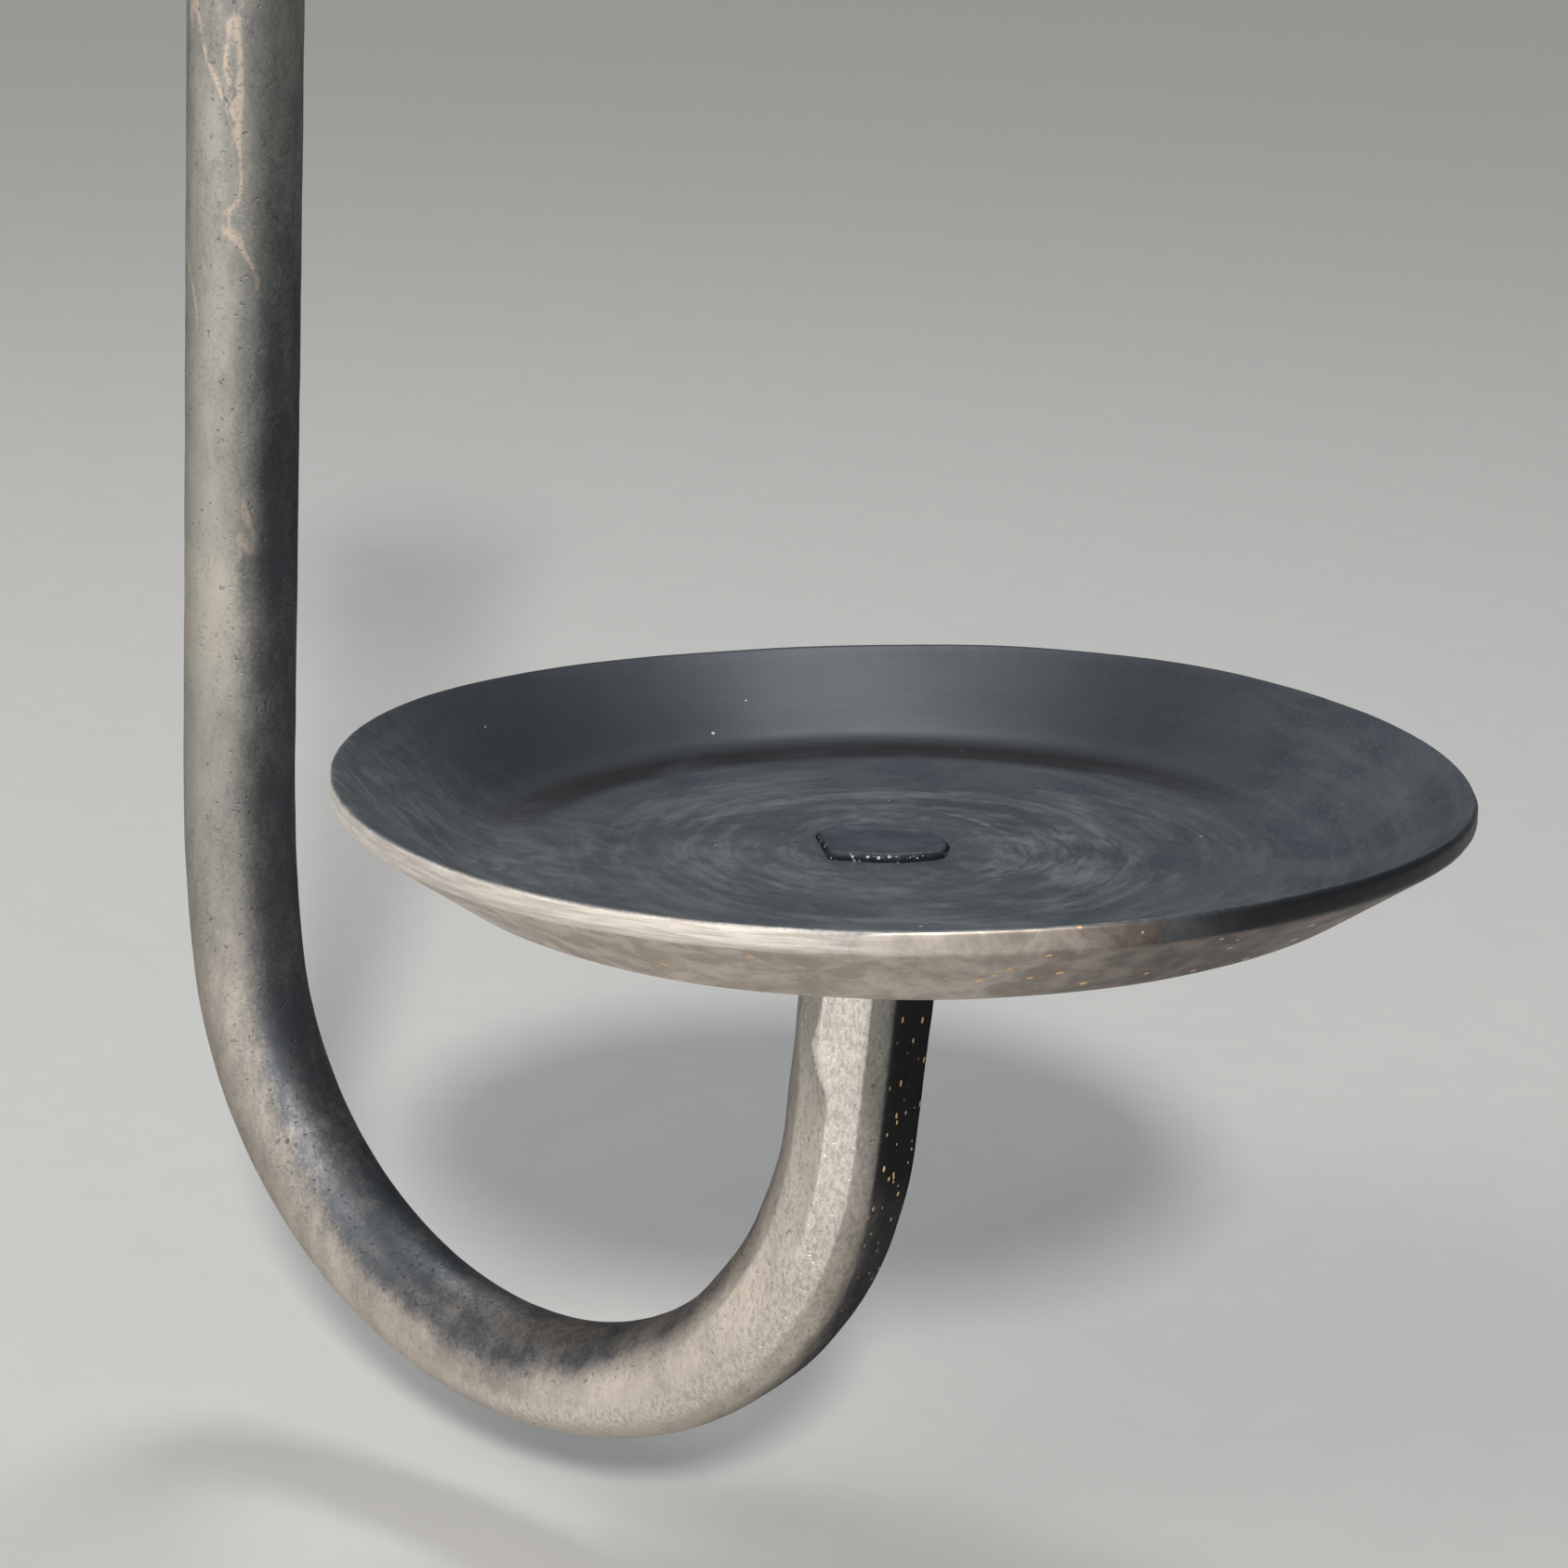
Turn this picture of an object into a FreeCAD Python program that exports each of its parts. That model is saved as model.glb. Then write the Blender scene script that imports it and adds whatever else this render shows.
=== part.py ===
import FreeCAD, Part
import math
import os

# A forged wall sconce for one candle. A round bar comes down the wall, hooks forward and up in a J,
# and carries a dished drip pan on its end. The end of the bar is a tenon that passes through the pan
# and is hammered over, so the pan is riveted fast. The top of the bar is forged flat and takes two
# screws into the wall.
#
# Millimetres. The wall is the plane Y = 0 and the sconce stands out from it along -Y, +Z is up, and
# the bar lies in the plane X = 0. The origin is on the wall, on the back of the flattened top,
# midway between the two screw holes.

# ---- driving dimensions -----------------------------------------------------------------------

OVERALL_HEIGHT = 280.0       # underside of the hook to the top of the flattened end

BAR_RADIUS = 6.0             # round bar, 12 mm
LEAD_RADIUS = 145.0          # slight curve where the bar starts to leave the wall
LEAD_TURN = 8.3              # degrees turned by that slight curve
BEND_RADIUS = 42.0           # the hook itself, on the bar's centre line
RISE_HEADING = 176.4         # heading of the rise: 0 is straight down, 180 straight up
RISE_LENGTH = 26.2           # straight run of the rise, up to the shoulder under the pan

FACET_START_HEADING = 122.0  # where on the hook the hammered facets begin
FACET_EDGES = [20, 66, 120, 140, 168, 202, 245, 290, 335]   # degrees round the bar, uneven as hammered
FACET_REACH = 6.6            # centre line to where two finished facets would meet
FACET_CORNER = 1.0           # corner radius between finished facets
FACET_FIRST_HALF = 3.0       # half width of each facet where it begins, in degrees

PADDLE_WIDTH = 28.0          # flattened top
PADDLE_THICKNESS = 4.0
PADDLE_LENGTH = 62.0
PADDLE_EDGE = 1.5            # rounded edges of the flattened top
NECK_LENGTH = 24.0           # round bar drawn out into the flat
NECK_FIRST_HALF = 15.0       # half width of each side where the neck begins, in degrees
CORNER_SHARE = 0.9           # most of the neck's half depth that a corner may take
SCREW_SPACING = 36.0
SCREW_HOLE_RADIUS = 2.5

RIM_RADIUS = 53.6            # pan, to the upright face ground on its edge
PAN_DEPTH = 8.2              # inside, floor to rim
SHEET = 2.0                  # pan sheet
WALL_ANGLE = 34.0            # slope of the pan's wall, in degrees
KNEE_RADIUS = 8.0            # inside bend between floor and wall
PAN_TILT_OUT = 3.2           # degrees that the side away from the wall stands high
PAN_TILT_SIDE = 0.4          # degrees that the +X side hangs low
PAN_OFFSET_SIDE = 1.2        # the hole is punched this far from the pan's centre
PAN_OFFSET_OUT = 1.3

TENON_RADIUS = 4.0
TENON_CLEARANCE = 0.04
HEAD_PROUD = 0.9             # hammered head above the pan's floor
HEAD_BED = 0.3               # depth that the head is driven into the floor
HEAD_TAPER = 0.93            # size of the head's top against its base
# corners of the head's base, each a radius and a direction in degrees from the +X side
HEAD_BASE = [(7.4, 72), (7.2, 97), (6.4, 168), (5.3, 238), (6.6, 278), (6.5, 310), (6.6, 356)]

SCREW_HEAD_RADIUS = 4.6
SCREW_HEAD_HEIGHT = 3.0
SCREW_HEAD_RIM = 0.7         # straight edge under the dome
SCREW_NECK_RADIUS = 1.9
SCREW_THREAD_RADIUS = 2.25
SCREW_THREAD_LENGTH = 27.0
SCREW_POINT_LENGTH = 5.0
SCREW_SLOT_WIDTH = 1.2
SCREW_SLOT_DEPTH = 1.4
SCREW_SLOT_TURNS = {"upper": 35.0, "lower": -12.0}   # degrees from upright, as they were driven

OVERRUN = 1.0                # how far a cut or a buried root runs past the surface it starts at
TRIM_SPARE = 4.0             # the rise is made this much too long, then trimmed
BEND_STATIONS = 9            # cross-sections along the hammered part of the hook
NECK_STATIONS = 8            # and along the neck
TOLERANCE = 1e-6             # lengths below this count as nothing

# ---- worked out from them ---------------------------------------------------------------------

UP = FreeCAD.Vector(0, 0, 1)
SIDEWAYS = FreeCAD.Vector(1, 0, 0)

PADDLE_TOP = PADDLE_LENGTH / 2
HOOK_BOTTOM = PADDLE_TOP - OVERALL_HEIGHT + BAR_RADIUS
BEND_CENTRE_Z = HOOK_BOTTOM + BEND_RADIUS
LEAD_REACH = LEAD_RADIUS * (1 - math.cos(math.radians(LEAD_TURN)))
BEND_CENTRE_OUT = BAR_RADIUS + LEAD_REACH + BEND_RADIUS * math.cos(math.radians(LEAD_TURN))
LEAD_DROP = LEAD_RADIUS * math.sin(math.radians(LEAD_TURN))
BEND_START_Z = BEND_CENTRE_Z - BEND_RADIUS * math.sin(math.radians(LEAD_TURN)) + LEAD_DROP


def heading_frame(heading):
    """The bar's direction at a heading, and the direction to the outside of the hook."""
    turn = math.radians(heading)
    along = FreeCAD.Vector(0, -math.sin(turn), -math.cos(turn))
    outside = FreeCAD.Vector(0, math.cos(turn), -math.sin(turn))
    return along, outside


def on_bend(heading, distance=BEND_RADIUS):
    """A point on the hook's arc, or at another distance from its centre."""
    _, outside = heading_frame(heading)
    return FreeCAD.Vector(0, -BEND_CENTRE_OUT, BEND_CENTRE_Z) + outside * distance


def on_lead(heading):
    """A point on the slight curve where the bar leaves the wall."""
    _, outside = heading_frame(heading)
    centre = FreeCAD.Vector(0, -BAR_RADIUS - LEAD_RADIUS, BEND_START_Z)
    return centre + outside * LEAD_RADIUS


def on_rise(distance):
    """A point on the straight rise, that far past the end of the hook's arc."""
    along, _ = heading_frame(RISE_HEADING)
    return on_bend(RISE_HEADING) + along * distance


def blend(start, end, share):
    """An eased value between start and end."""
    eased = share * share * (3 - 2 * share)
    return start + (end - start) * eased


# ---- cross-sections of the bar ----------------------------------------------------------------

def round_section(centre, across, outward, radius, side_angles, side_half_angle):
    """A circle cut into a side arc and a corner arc for each side of the section it will turn into."""
    def at(angle):
        turn = math.radians(angle)
        return centre + across * (radius * math.cos(turn)) + outward * (radius * math.sin(turn))

    def arc(start, end):
        return Part.Arc(at(start), at((start + end) / 2), at(end)).toShape()

    edges = []
    for angle, following in zip(side_angles, side_angles[1:] + [side_angles[0] + 360]):
        edges.append(arc(angle - side_half_angle, angle + side_half_angle))
        edges.append(arc(angle + side_half_angle, following - side_half_angle))
    return Part.Wire(edges)


def facets():
    """Each hammered facet as the angle it faces and its distance from the centre line."""
    found = []
    for start, end in zip(FACET_EDGES, FACET_EDGES[1:] + [FACET_EDGES[0] + 360]):
        half_span = math.radians(end - start) / 2
        found.append(((start + end) / 2, FACET_REACH * math.cos(half_span)))
    return found


def cornered_section(centre, across, outward, sides, corner):
    """A closed outline of flat sides with rounded corners. Each side is an angle and a distance."""
    def place(x, y):
        return centre + across * x + outward * y

    def corner_centre(first, second):
        # the point that lies one corner radius inside both sides
        a1, a2 = math.radians(first[0]), math.radians(second[0])
        d1, d2 = first[1] - corner, second[1] - corner
        scale = math.sin(a2 - a1)
        x = (d1 * math.sin(a2) - d2 * math.sin(a1)) / scale
        y = (d2 * math.cos(a1) - d1 * math.cos(a2)) / scale
        return x, y

    def touch(point, angle):
        turn = math.radians(angle)
        return place(point[0] + corner * math.cos(turn), point[1] + corner * math.sin(turn))

    count = len(sides)
    centres = [corner_centre(sides[k], sides[(k + 1) % count]) for k in range(count)]
    edges = []
    for k in range(count):
        angle = sides[k][0]
        next_angle = sides[(k + 1) % count][0] + (360 if k == count - 1 else 0)
        start = touch(centres[k - 1], angle)
        end = touch(centres[k], angle)
        middle = touch(centres[k], (angle + next_angle) / 2)
        following = touch(centres[k], next_angle)
        edges.append(Part.makeLine(start, end))
        edges.append(Part.Arc(end, middle, following).toShape())
    return Part.Wire(edges)


# ---- the bracket arm --------------------------------------------------------------------------

def round_bar():
    """The plain round stretch: down the wall and round the hook to where the facets begin."""
    top = FreeCAD.Vector(0, -BAR_RADIUS, -PADDLE_LENGTH / 2 - NECK_LENGTH)
    leave_wall = FreeCAD.Vector(0, -BAR_RADIUS, BEND_START_Z)
    path = Part.Wire([
        Part.makeLine(top, leave_wall),
        Part.Arc(leave_wall, on_lead(LEAD_TURN / 2), on_lead(LEAD_TURN)).toShape(),
        Part.Arc(
            on_bend(LEAD_TURN),
            on_bend((LEAD_TURN + FACET_START_HEADING) / 2),
            on_bend(FACET_START_HEADING),
        ).toShape(),
    ])
    profile = Part.Wire([Part.makeCircle(BAR_RADIUS, top, UP)])
    return path.makePipeShell([profile], True, False)


def faceted_rise():
    """The hammered stretch: round at first, then uneven facets that stand a little wider."""
    angles = [angle for angle, _ in facets()]
    _, outside = heading_frame(FACET_START_HEADING)
    start = on_bend(FACET_START_HEADING)
    sections = [round_section(start, SIDEWAYS, outside, BAR_RADIUS, angles, FACET_FIRST_HALF)]

    for k in range(1, BEND_STATIONS + 1):
        share = k / BEND_STATIONS
        heading = FACET_START_HEADING + (RISE_HEADING - FACET_START_HEADING) * share
        _, outside = heading_frame(heading)
        sides = [(angle, blend(BAR_RADIUS, distance, share)) for angle, distance in facets()]
        corner = blend(BAR_RADIUS, FACET_CORNER, share)
        sections.append(cornered_section(on_bend(heading), SIDEWAYS, outside, sides, corner))

    # runs on past the shoulder, and the pan's underside then trims it
    whole_length = RISE_LENGTH + TRIM_SPARE
    for share in (0.5, 1.0):
        centre = on_rise(whole_length * share)
        sections.append(cornered_section(centre, SIDEWAYS, outside, sides, corner))
    return Part.makeLoft(sections, True, True)


def neck():
    """The bar drawn out from round into the flat, its back kept on the wall."""
    outward = FreeCAD.Vector(0, 1, 0)
    angles = [0, 90, 180, 270]
    bottom = -PADDLE_LENGTH / 2 - NECK_LENGTH
    start = FreeCAD.Vector(0, -BAR_RADIUS, bottom)
    sections = [round_section(start, SIDEWAYS, outward, BAR_RADIUS, angles, NECK_FIRST_HALF)]
    for k in range(1, NECK_STATIONS + 1):
        share = k / NECK_STATIONS
        half_width = blend(BAR_RADIUS, PADDLE_WIDTH / 2, share)
        half_depth = blend(BAR_RADIUS, PADDLE_THICKNESS / 2, share)
        corner = blend(BAR_RADIUS * CORNER_SHARE, PADDLE_EDGE, share)
        corner = min(corner, half_depth * CORNER_SHARE)
        sides = [(0, half_width), (90, half_depth), (180, half_width), (270, half_depth)]
        centre = FreeCAD.Vector(0, -half_depth, bottom + NECK_LENGTH * share)
        sections.append(cornered_section(centre, SIDEWAYS, outward, sides, corner))
    return Part.makeLoft(sections, True, True)


def paddle():
    """The flattened top: a round-ended plate with two screw holes."""
    half = PADDLE_WIDTH / 2
    bottom = -PADDLE_LENGTH / 2
    shoulder = PADDLE_TOP - half
    outline = Part.Wire([
        Part.makeLine(FreeCAD.Vector(-half, 0, bottom), FreeCAD.Vector(half, 0, bottom)),
        Part.makeLine(FreeCAD.Vector(half, 0, bottom), FreeCAD.Vector(half, 0, shoulder)),
        Part.Arc(
            FreeCAD.Vector(half, 0, shoulder),
            FreeCAD.Vector(0, 0, PADDLE_TOP),
            FreeCAD.Vector(-half, 0, shoulder),
        ).toShape(),
        Part.makeLine(FreeCAD.Vector(-half, 0, shoulder), FreeCAD.Vector(-half, 0, bottom)),
    ])
    plate = Part.Face(outline).extrude(FreeCAD.Vector(0, -PADDLE_THICKNESS, 0))

    def is_rim(edge):
        box = edge.BoundBox
        return box.YLength < TOLERANCE and box.ZMax > bottom + TOLERANCE

    return plate.makeFillet(PADDLE_EDGE, [edge for edge in plate.Edges if is_rim(edge)])


def screw_heights():
    """The height of each screw, by name."""
    return {"upper": SCREW_SPACING / 2, "lower": -SCREW_SPACING / 2}


def seat_on_rise(shape):
    """Moves a shape made about the origin, floor down and +Z up, to the shoulder on the rise."""
    tilted = shape.copy()
    tilted.rotate(FreeCAD.Vector(), SIDEWAYS, -PAN_TILT_OUT)
    tilted.rotate(FreeCAD.Vector(), FreeCAD.Vector(0, 1, 0), PAN_TILT_SIDE)
    tilted.translate(on_rise(RISE_LENGTH))
    return tilted


def head_block(base, height, growth=0.0):
    """The hammered head as a seven-sided lump, narrower at the top. growth widens it all round."""
    def ring(z, size):
        points = []
        for radius, angle in HEAD_BASE:
            turn = math.radians(angle)
            reach = radius * size + growth
            points.append(FreeCAD.Vector(reach * math.cos(turn), reach * math.sin(turn), z))
        return Part.makePolygon(points + points[:1])

    return Part.makeLoft([ring(base, 1.0), ring(base + height, HEAD_TAPER)], True, True)


def tenon_and_head():
    """What is left of the bar above the shoulder: a round tenon, hammered over on the pan's floor."""
    tenon_length = SHEET - HEAD_BED
    foot = FreeCAD.Vector(0, 0, -OVERRUN)
    tenon = Part.makeCylinder(TENON_RADIUS, tenon_length + OVERRUN, foot)
    return tenon.fuse(head_block(tenon_length, HEAD_BED + HEAD_PROUD))


def bracket_arm():
    """The whole forged bar as one solid."""
    above_shoulder = Part.makeCylinder(RIM_RADIUS, 3 * TRIM_SPARE)   # tall enough for all of the spare
    rise = faceted_rise().cut(seat_on_rise(above_shoulder))
    arm = round_bar().fuse([rise, neck(), paddle(), seat_on_rise(tenon_and_head())])
    hole_length = PADDLE_THICKNESS + 2 * OVERRUN
    for height in screw_heights().values():
        start = FreeCAD.Vector(0, OVERRUN, height)
        arm = arm.cut(Part.makeCylinder(SCREW_HOLE_RADIUS, hole_length, start, FreeCAD.Vector(0, -1, 0)))
    return arm.removeSplitter()


# ---- the drip pan -----------------------------------------------------------------------------

def drip_pan():
    """A dished disc with a flat floor, a rounded knee and a sloping wall, its edge ground upright."""
    slope = math.radians(WALL_ANGLE)
    knee_reach = KNEE_RADIUS * math.sin(slope)
    knee_rise = KNEE_RADIUS * (1 - math.cos(slope))
    floor_radius = RIM_RADIUS - (PAN_DEPTH - knee_rise) / math.tan(slope) - knee_reach

    def surface(offset, share):
        """A point on the knee, offset outwards through the sheet, at a share of its turn."""
        turn = slope * share
        radius = KNEE_RADIUS + offset
        height = SHEET + KNEE_RADIUS - radius * math.cos(turn)
        return FreeCAD.Vector(floor_radius + radius * math.sin(turn), 0, height)

    rim_top = FreeCAD.Vector(RIM_RADIUS, 0, SHEET + PAN_DEPTH)
    rim_lower = rim_top - UP * (SHEET / math.cos(slope))
    centre_bottom = FreeCAD.Vector(0, 0, 0)
    centre_top = FreeCAD.Vector(0, 0, SHEET)
    profile = Part.Wire([
        Part.makeLine(centre_bottom, surface(SHEET, 0)),
        Part.Arc(surface(SHEET, 0), surface(SHEET, 0.5), surface(SHEET, 1)).toShape(),
        Part.makeLine(surface(SHEET, 1), rim_lower),
        Part.makeLine(rim_lower, rim_top),
        Part.makeLine(rim_top, surface(0, 1)),
        Part.Arc(surface(0, 1), surface(0, 0.5), surface(0, 0)).toShape(),
        Part.makeLine(surface(0, 0), centre_top),
        Part.makeLine(centre_top, centre_bottom),
    ])
    pan = Part.Face(profile).revolve(FreeCAD.Vector(), UP, 360)
    pan.translate(FreeCAD.Vector(PAN_OFFSET_SIDE, -PAN_OFFSET_OUT, 0))
    hole_start = FreeCAD.Vector(0, 0, -OVERRUN)
    hole = Part.makeCylinder(TENON_RADIUS + TENON_CLEARANCE, SHEET + 2 * OVERRUN, hole_start)
    bed = head_block(SHEET - HEAD_BED, HEAD_BED + HEAD_PROUD, TENON_CLEARANCE)
    return seat_on_rise(pan.cut(hole).cut(bed))


# ---- the wall screws --------------------------------------------------------------------------

def wall_screw(height, slot_turn):
    """A round-head slotted wood screw, its thread drawn as its outer cylinder."""
    front = -PADDLE_THICKNESS
    crown = front - SCREW_HEAD_HEIGHT
    dome_edge = front - SCREW_HEAD_RIM
    thread_end = SCREW_THREAD_LENGTH
    dome_height = SCREW_HEAD_HEIGHT - SCREW_HEAD_RIM
    dome_radius = (SCREW_HEAD_RADIUS ** 2 + dome_height ** 2) / (2 * dome_height)
    half_turn = math.asin(SCREW_HEAD_RADIUS / dome_radius) / 2
    dome_middle = FreeCAD.Vector(
        dome_radius * math.sin(half_turn), crown + dome_radius * (1 - math.cos(half_turn)), 0
    )
    corners = [
        FreeCAD.Vector(SCREW_HEAD_RADIUS, dome_edge, 0),
        FreeCAD.Vector(SCREW_HEAD_RADIUS, front, 0),
        FreeCAD.Vector(SCREW_NECK_RADIUS, front, 0),
        FreeCAD.Vector(SCREW_NECK_RADIUS, 0, 0),
        FreeCAD.Vector(SCREW_THREAD_RADIUS, 0, 0),
        FreeCAD.Vector(SCREW_THREAD_RADIUS, thread_end, 0),
        FreeCAD.Vector(0, thread_end + SCREW_POINT_LENGTH, 0),
        FreeCAD.Vector(0, crown, 0),
    ]
    dome = Part.Arc(corners[-1], dome_middle, corners[0]).toShape()
    sides = [Part.makeLine(a, b) for a, b in zip(corners, corners[1:])]
    screw = Part.Face(Part.Wire([dome] + sides)).revolve(FreeCAD.Vector(), FreeCAD.Vector(0, 1, 0), 360)
    slot_length = 4 * SCREW_HEAD_RADIUS      # right across the head, whatever its turn
    slot = Part.makeBox(
        SCREW_SLOT_WIDTH,
        SCREW_SLOT_DEPTH + OVERRUN,
        slot_length,
        FreeCAD.Vector(-SCREW_SLOT_WIDTH / 2, crown - OVERRUN, -slot_length / 2),
    )
    slot.rotate(FreeCAD.Vector(), FreeCAD.Vector(0, 1, 0), slot_turn)
    screw = screw.cut(slot)
    screw.translate(FreeCAD.Vector(0, 0, height))
    return screw


# ---- one file for each piece ------------------------------------------------------------------

pieces = {"bracket_arm": bracket_arm(), "drip_pan": drip_pan()}
for name, height in screw_heights().items():
    pieces["wall_screw_" + name] = wall_screw(height, SCREW_SLOT_TURNS[name])

os.makedirs("parts", exist_ok=True)
for name, shape in pieces.items():
    if shape.ShapeType == "Compound" and len(shape.Solids) == 1:
        shape = shape.Solids[0]
    shape.exportStep("parts/" + name + ".step")
    box = shape.BoundBox
    print(
        name, shape.ShapeType, "solids", len(shape.Solids), "valid", shape.isValid(),
        "volume %.1f" % shape.Volume,
        "x %.2f..%.2f y %.2f..%.2f z %.2f..%.2f"
        % (box.XMin, box.XMax, box.YMin, box.YMax, box.ZMin, box.ZMax),
    )
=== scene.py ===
import math
import random

import bmesh
import bpy
import numpy as np
from mathutils import Matrix, Vector, noise


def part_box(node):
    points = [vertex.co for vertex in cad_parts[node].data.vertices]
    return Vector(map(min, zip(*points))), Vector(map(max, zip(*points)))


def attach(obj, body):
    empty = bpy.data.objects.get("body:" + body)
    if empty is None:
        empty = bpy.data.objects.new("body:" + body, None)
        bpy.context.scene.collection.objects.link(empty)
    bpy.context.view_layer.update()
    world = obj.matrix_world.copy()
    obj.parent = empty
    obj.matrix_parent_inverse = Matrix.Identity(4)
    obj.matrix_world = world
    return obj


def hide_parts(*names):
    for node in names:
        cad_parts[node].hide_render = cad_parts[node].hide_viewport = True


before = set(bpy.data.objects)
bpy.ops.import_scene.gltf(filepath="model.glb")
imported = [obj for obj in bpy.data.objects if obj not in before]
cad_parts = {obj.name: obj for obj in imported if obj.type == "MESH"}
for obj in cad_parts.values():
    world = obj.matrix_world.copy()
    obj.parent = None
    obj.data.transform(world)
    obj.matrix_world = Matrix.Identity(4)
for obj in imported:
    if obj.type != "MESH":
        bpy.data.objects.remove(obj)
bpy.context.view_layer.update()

# A forged wall sconce for one candle: one bar, a riveted drip pan and two wall screws.
# Shapes are worked out in millimetres in the row frame and become metres in add_mesh().
# The wall is the plane Y = 0, the sconce stands out along -Y, and +Z is up.

MM = 0.001

# ---- dimensions, as in the CAD ------------------------------------------------------------------

BAR_RADIUS = 6.0
LEAD_RADIUS = 145.0
LEAD_TURN = 8.3
BEND_RADIUS = 42.0
RISE_HEADING = 176.4
RISE_LENGTH = 26.2

PADDLE_WIDTH = 28.0
PADDLE_THICKNESS = 4.0
PADDLE_LENGTH = 62.0
PADDLE_EDGE = 1.5
NECK_LENGTH = 24.0
SCREW_SPACING = 36.0
SCREW_HOLE_RADIUS = 2.5

RIM_RADIUS = 53.6
PAN_DEPTH = 8.2
SHEET = 2.0
WALL_ANGLE = 34.0
KNEE_RADIUS = 8.0
PAN_OFFSET = np.array([1.2, -1.3])   # pan's centre from its hole
PAN_TILT_OUT = 3.2
PAN_TILT_SIDE = 0.4

TENON_RADIUS = 4.0
TENON_CLEARANCE = 0.04               # between the tenon and the pan's hole
HEAD_PROUD = 0.9
HEAD_SOFTNESS = 0.14
HEAD_BASE = [(7.4, 72), (7.2, 97), (6.4, 168), (5.3, 238), (6.6, 278), (6.5, 310), (6.6, 356)]

SCREW_HEAD_RADIUS = 4.6
SCREW_HEAD_HEIGHT = 3.0
SCREW_HEAD_RIM = 0.7
SCREW_NECK_RADIUS = 1.9
SCREW_THREAD_RADIUS = 2.25
SCREW_THREAD_ROOT = 1.65
SCREW_THREAD_LENGTH = 27.0
SCREW_THREAD_PITCH = 2.0
SCREW_POINT_LENGTH = 5.0
SCREW_SLOT_WIDTH = 1.2
SCREW_SLOT_DEPTH = 1.4
SCREW_SLOT_TURNS = {"upper": 35.0, "lower": -12.0}

# The frame says where the bar's top and the hook's lowest point are.
arm_low, arm_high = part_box("bracket_arm")
PADDLE_TOP = arm_high.z / MM
HOOK_AXIS_BOTTOM = arm_low.z / MM + BAR_RADIUS
PADDLE_SHOULDER = PADDLE_TOP - PADDLE_WIDTH / 2
PADDLE_BOTTOM = PADDLE_TOP - PADDLE_LENGTH
NECK_BOTTOM = PADDLE_BOTTOM - NECK_LENGTH

LEAD_TURN_RAD = math.radians(LEAD_TURN)
BEND_CENTRE_Z = HOOK_AXIS_BOTTOM + BEND_RADIUS
BEND_CENTRE_OUT = (
    BAR_RADIUS + LEAD_RADIUS * (1 - math.cos(LEAD_TURN_RAD)) + BEND_RADIUS * math.cos(LEAD_TURN_RAD)
)
BEND_START_Z = BEND_CENTRE_Z + (LEAD_RADIUS - BEND_RADIUS) * math.sin(LEAD_TURN_RAD)

# ---- helpers ------------------------------------------------------------------------------------


def smooth(low, high, value):
    """0 below low, 1 above high, eased between."""
    share = np.clip((np.asarray(value, float) - low) / (high - low), 0.0, 1.0)
    return share * share * (3 - 2 * share)


def ripple(points, size, seed):
    """Smooth noise from -1 to 1 at each point, with lumps of about that size in mm."""
    shift = Vector((seed * 17.3, seed * -9.1, seed * 5.7))
    return np.array([noise.noise(Vector(p) / size + shift) for p in points])


def soft_min(walls, softness):
    """The lowest of each column of walls, eased where two of them meet."""
    nearest = walls.min(0)
    return nearest - softness * np.log(np.exp(-(walls - nearest) / softness).sum(0))


def ring_faces(ring_count, around):
    """Quads between successive rings, each of the same number of points."""
    faces = []
    for k in range(ring_count - 1):
        base = k * around
        for i in range(around):
            j = (i + 1) % around
            faces.append((base + i, base + j, base + around + j, base + around + i))
    return faces


def add_mesh(name, points, faces, materials, attributes=None, flip=False):
    """Makes a smooth-shaded object from points in mm, with one float attribute per named list."""
    if flip:
        faces = [tuple(reversed(face)) for face in faces]
    mesh = bpy.data.meshes.new(name)
    mesh.from_pydata((np.asarray(points) * MM).tolist(), [], faces)
    for material in materials:
        mesh.materials.append(material)
    for key, values in (attributes or {}).items():
        layer = mesh.attributes.new(key, "FLOAT", "POINT")
        layer.data.foreach_set("value", np.asarray(values, np.float32))
    mesh.polygons.foreach_set("use_smooth", [True] * len(mesh.polygons))
    mesh.update()
    piece = bpy.data.objects.new(name, mesh)
    bpy.context.scene.collection.objects.link(piece)
    return piece


def cut(piece, cutters):
    """Takes each cutter out of the piece, then removes the cutters."""
    for cutter in cutters:
        modifier = piece.modifiers.new("cut", "BOOLEAN")
        modifier.operation = "DIFFERENCE"
        modifier.solver = "EXACT"
        modifier.object = cutter
    bpy.context.view_layer.update()
    graph = bpy.context.evaluated_depsgraph_get()
    finished = bpy.data.meshes.new_from_object(
        piece.evaluated_get(graph), preserve_all_data_layers=True, depsgraph=graph
    )
    piece.modifiers.clear()
    piece.data = finished
    for cutter in cutters:
        bpy.data.objects.remove(cutter)


# ---- materials ----------------------------------------------------------------------------------


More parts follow.
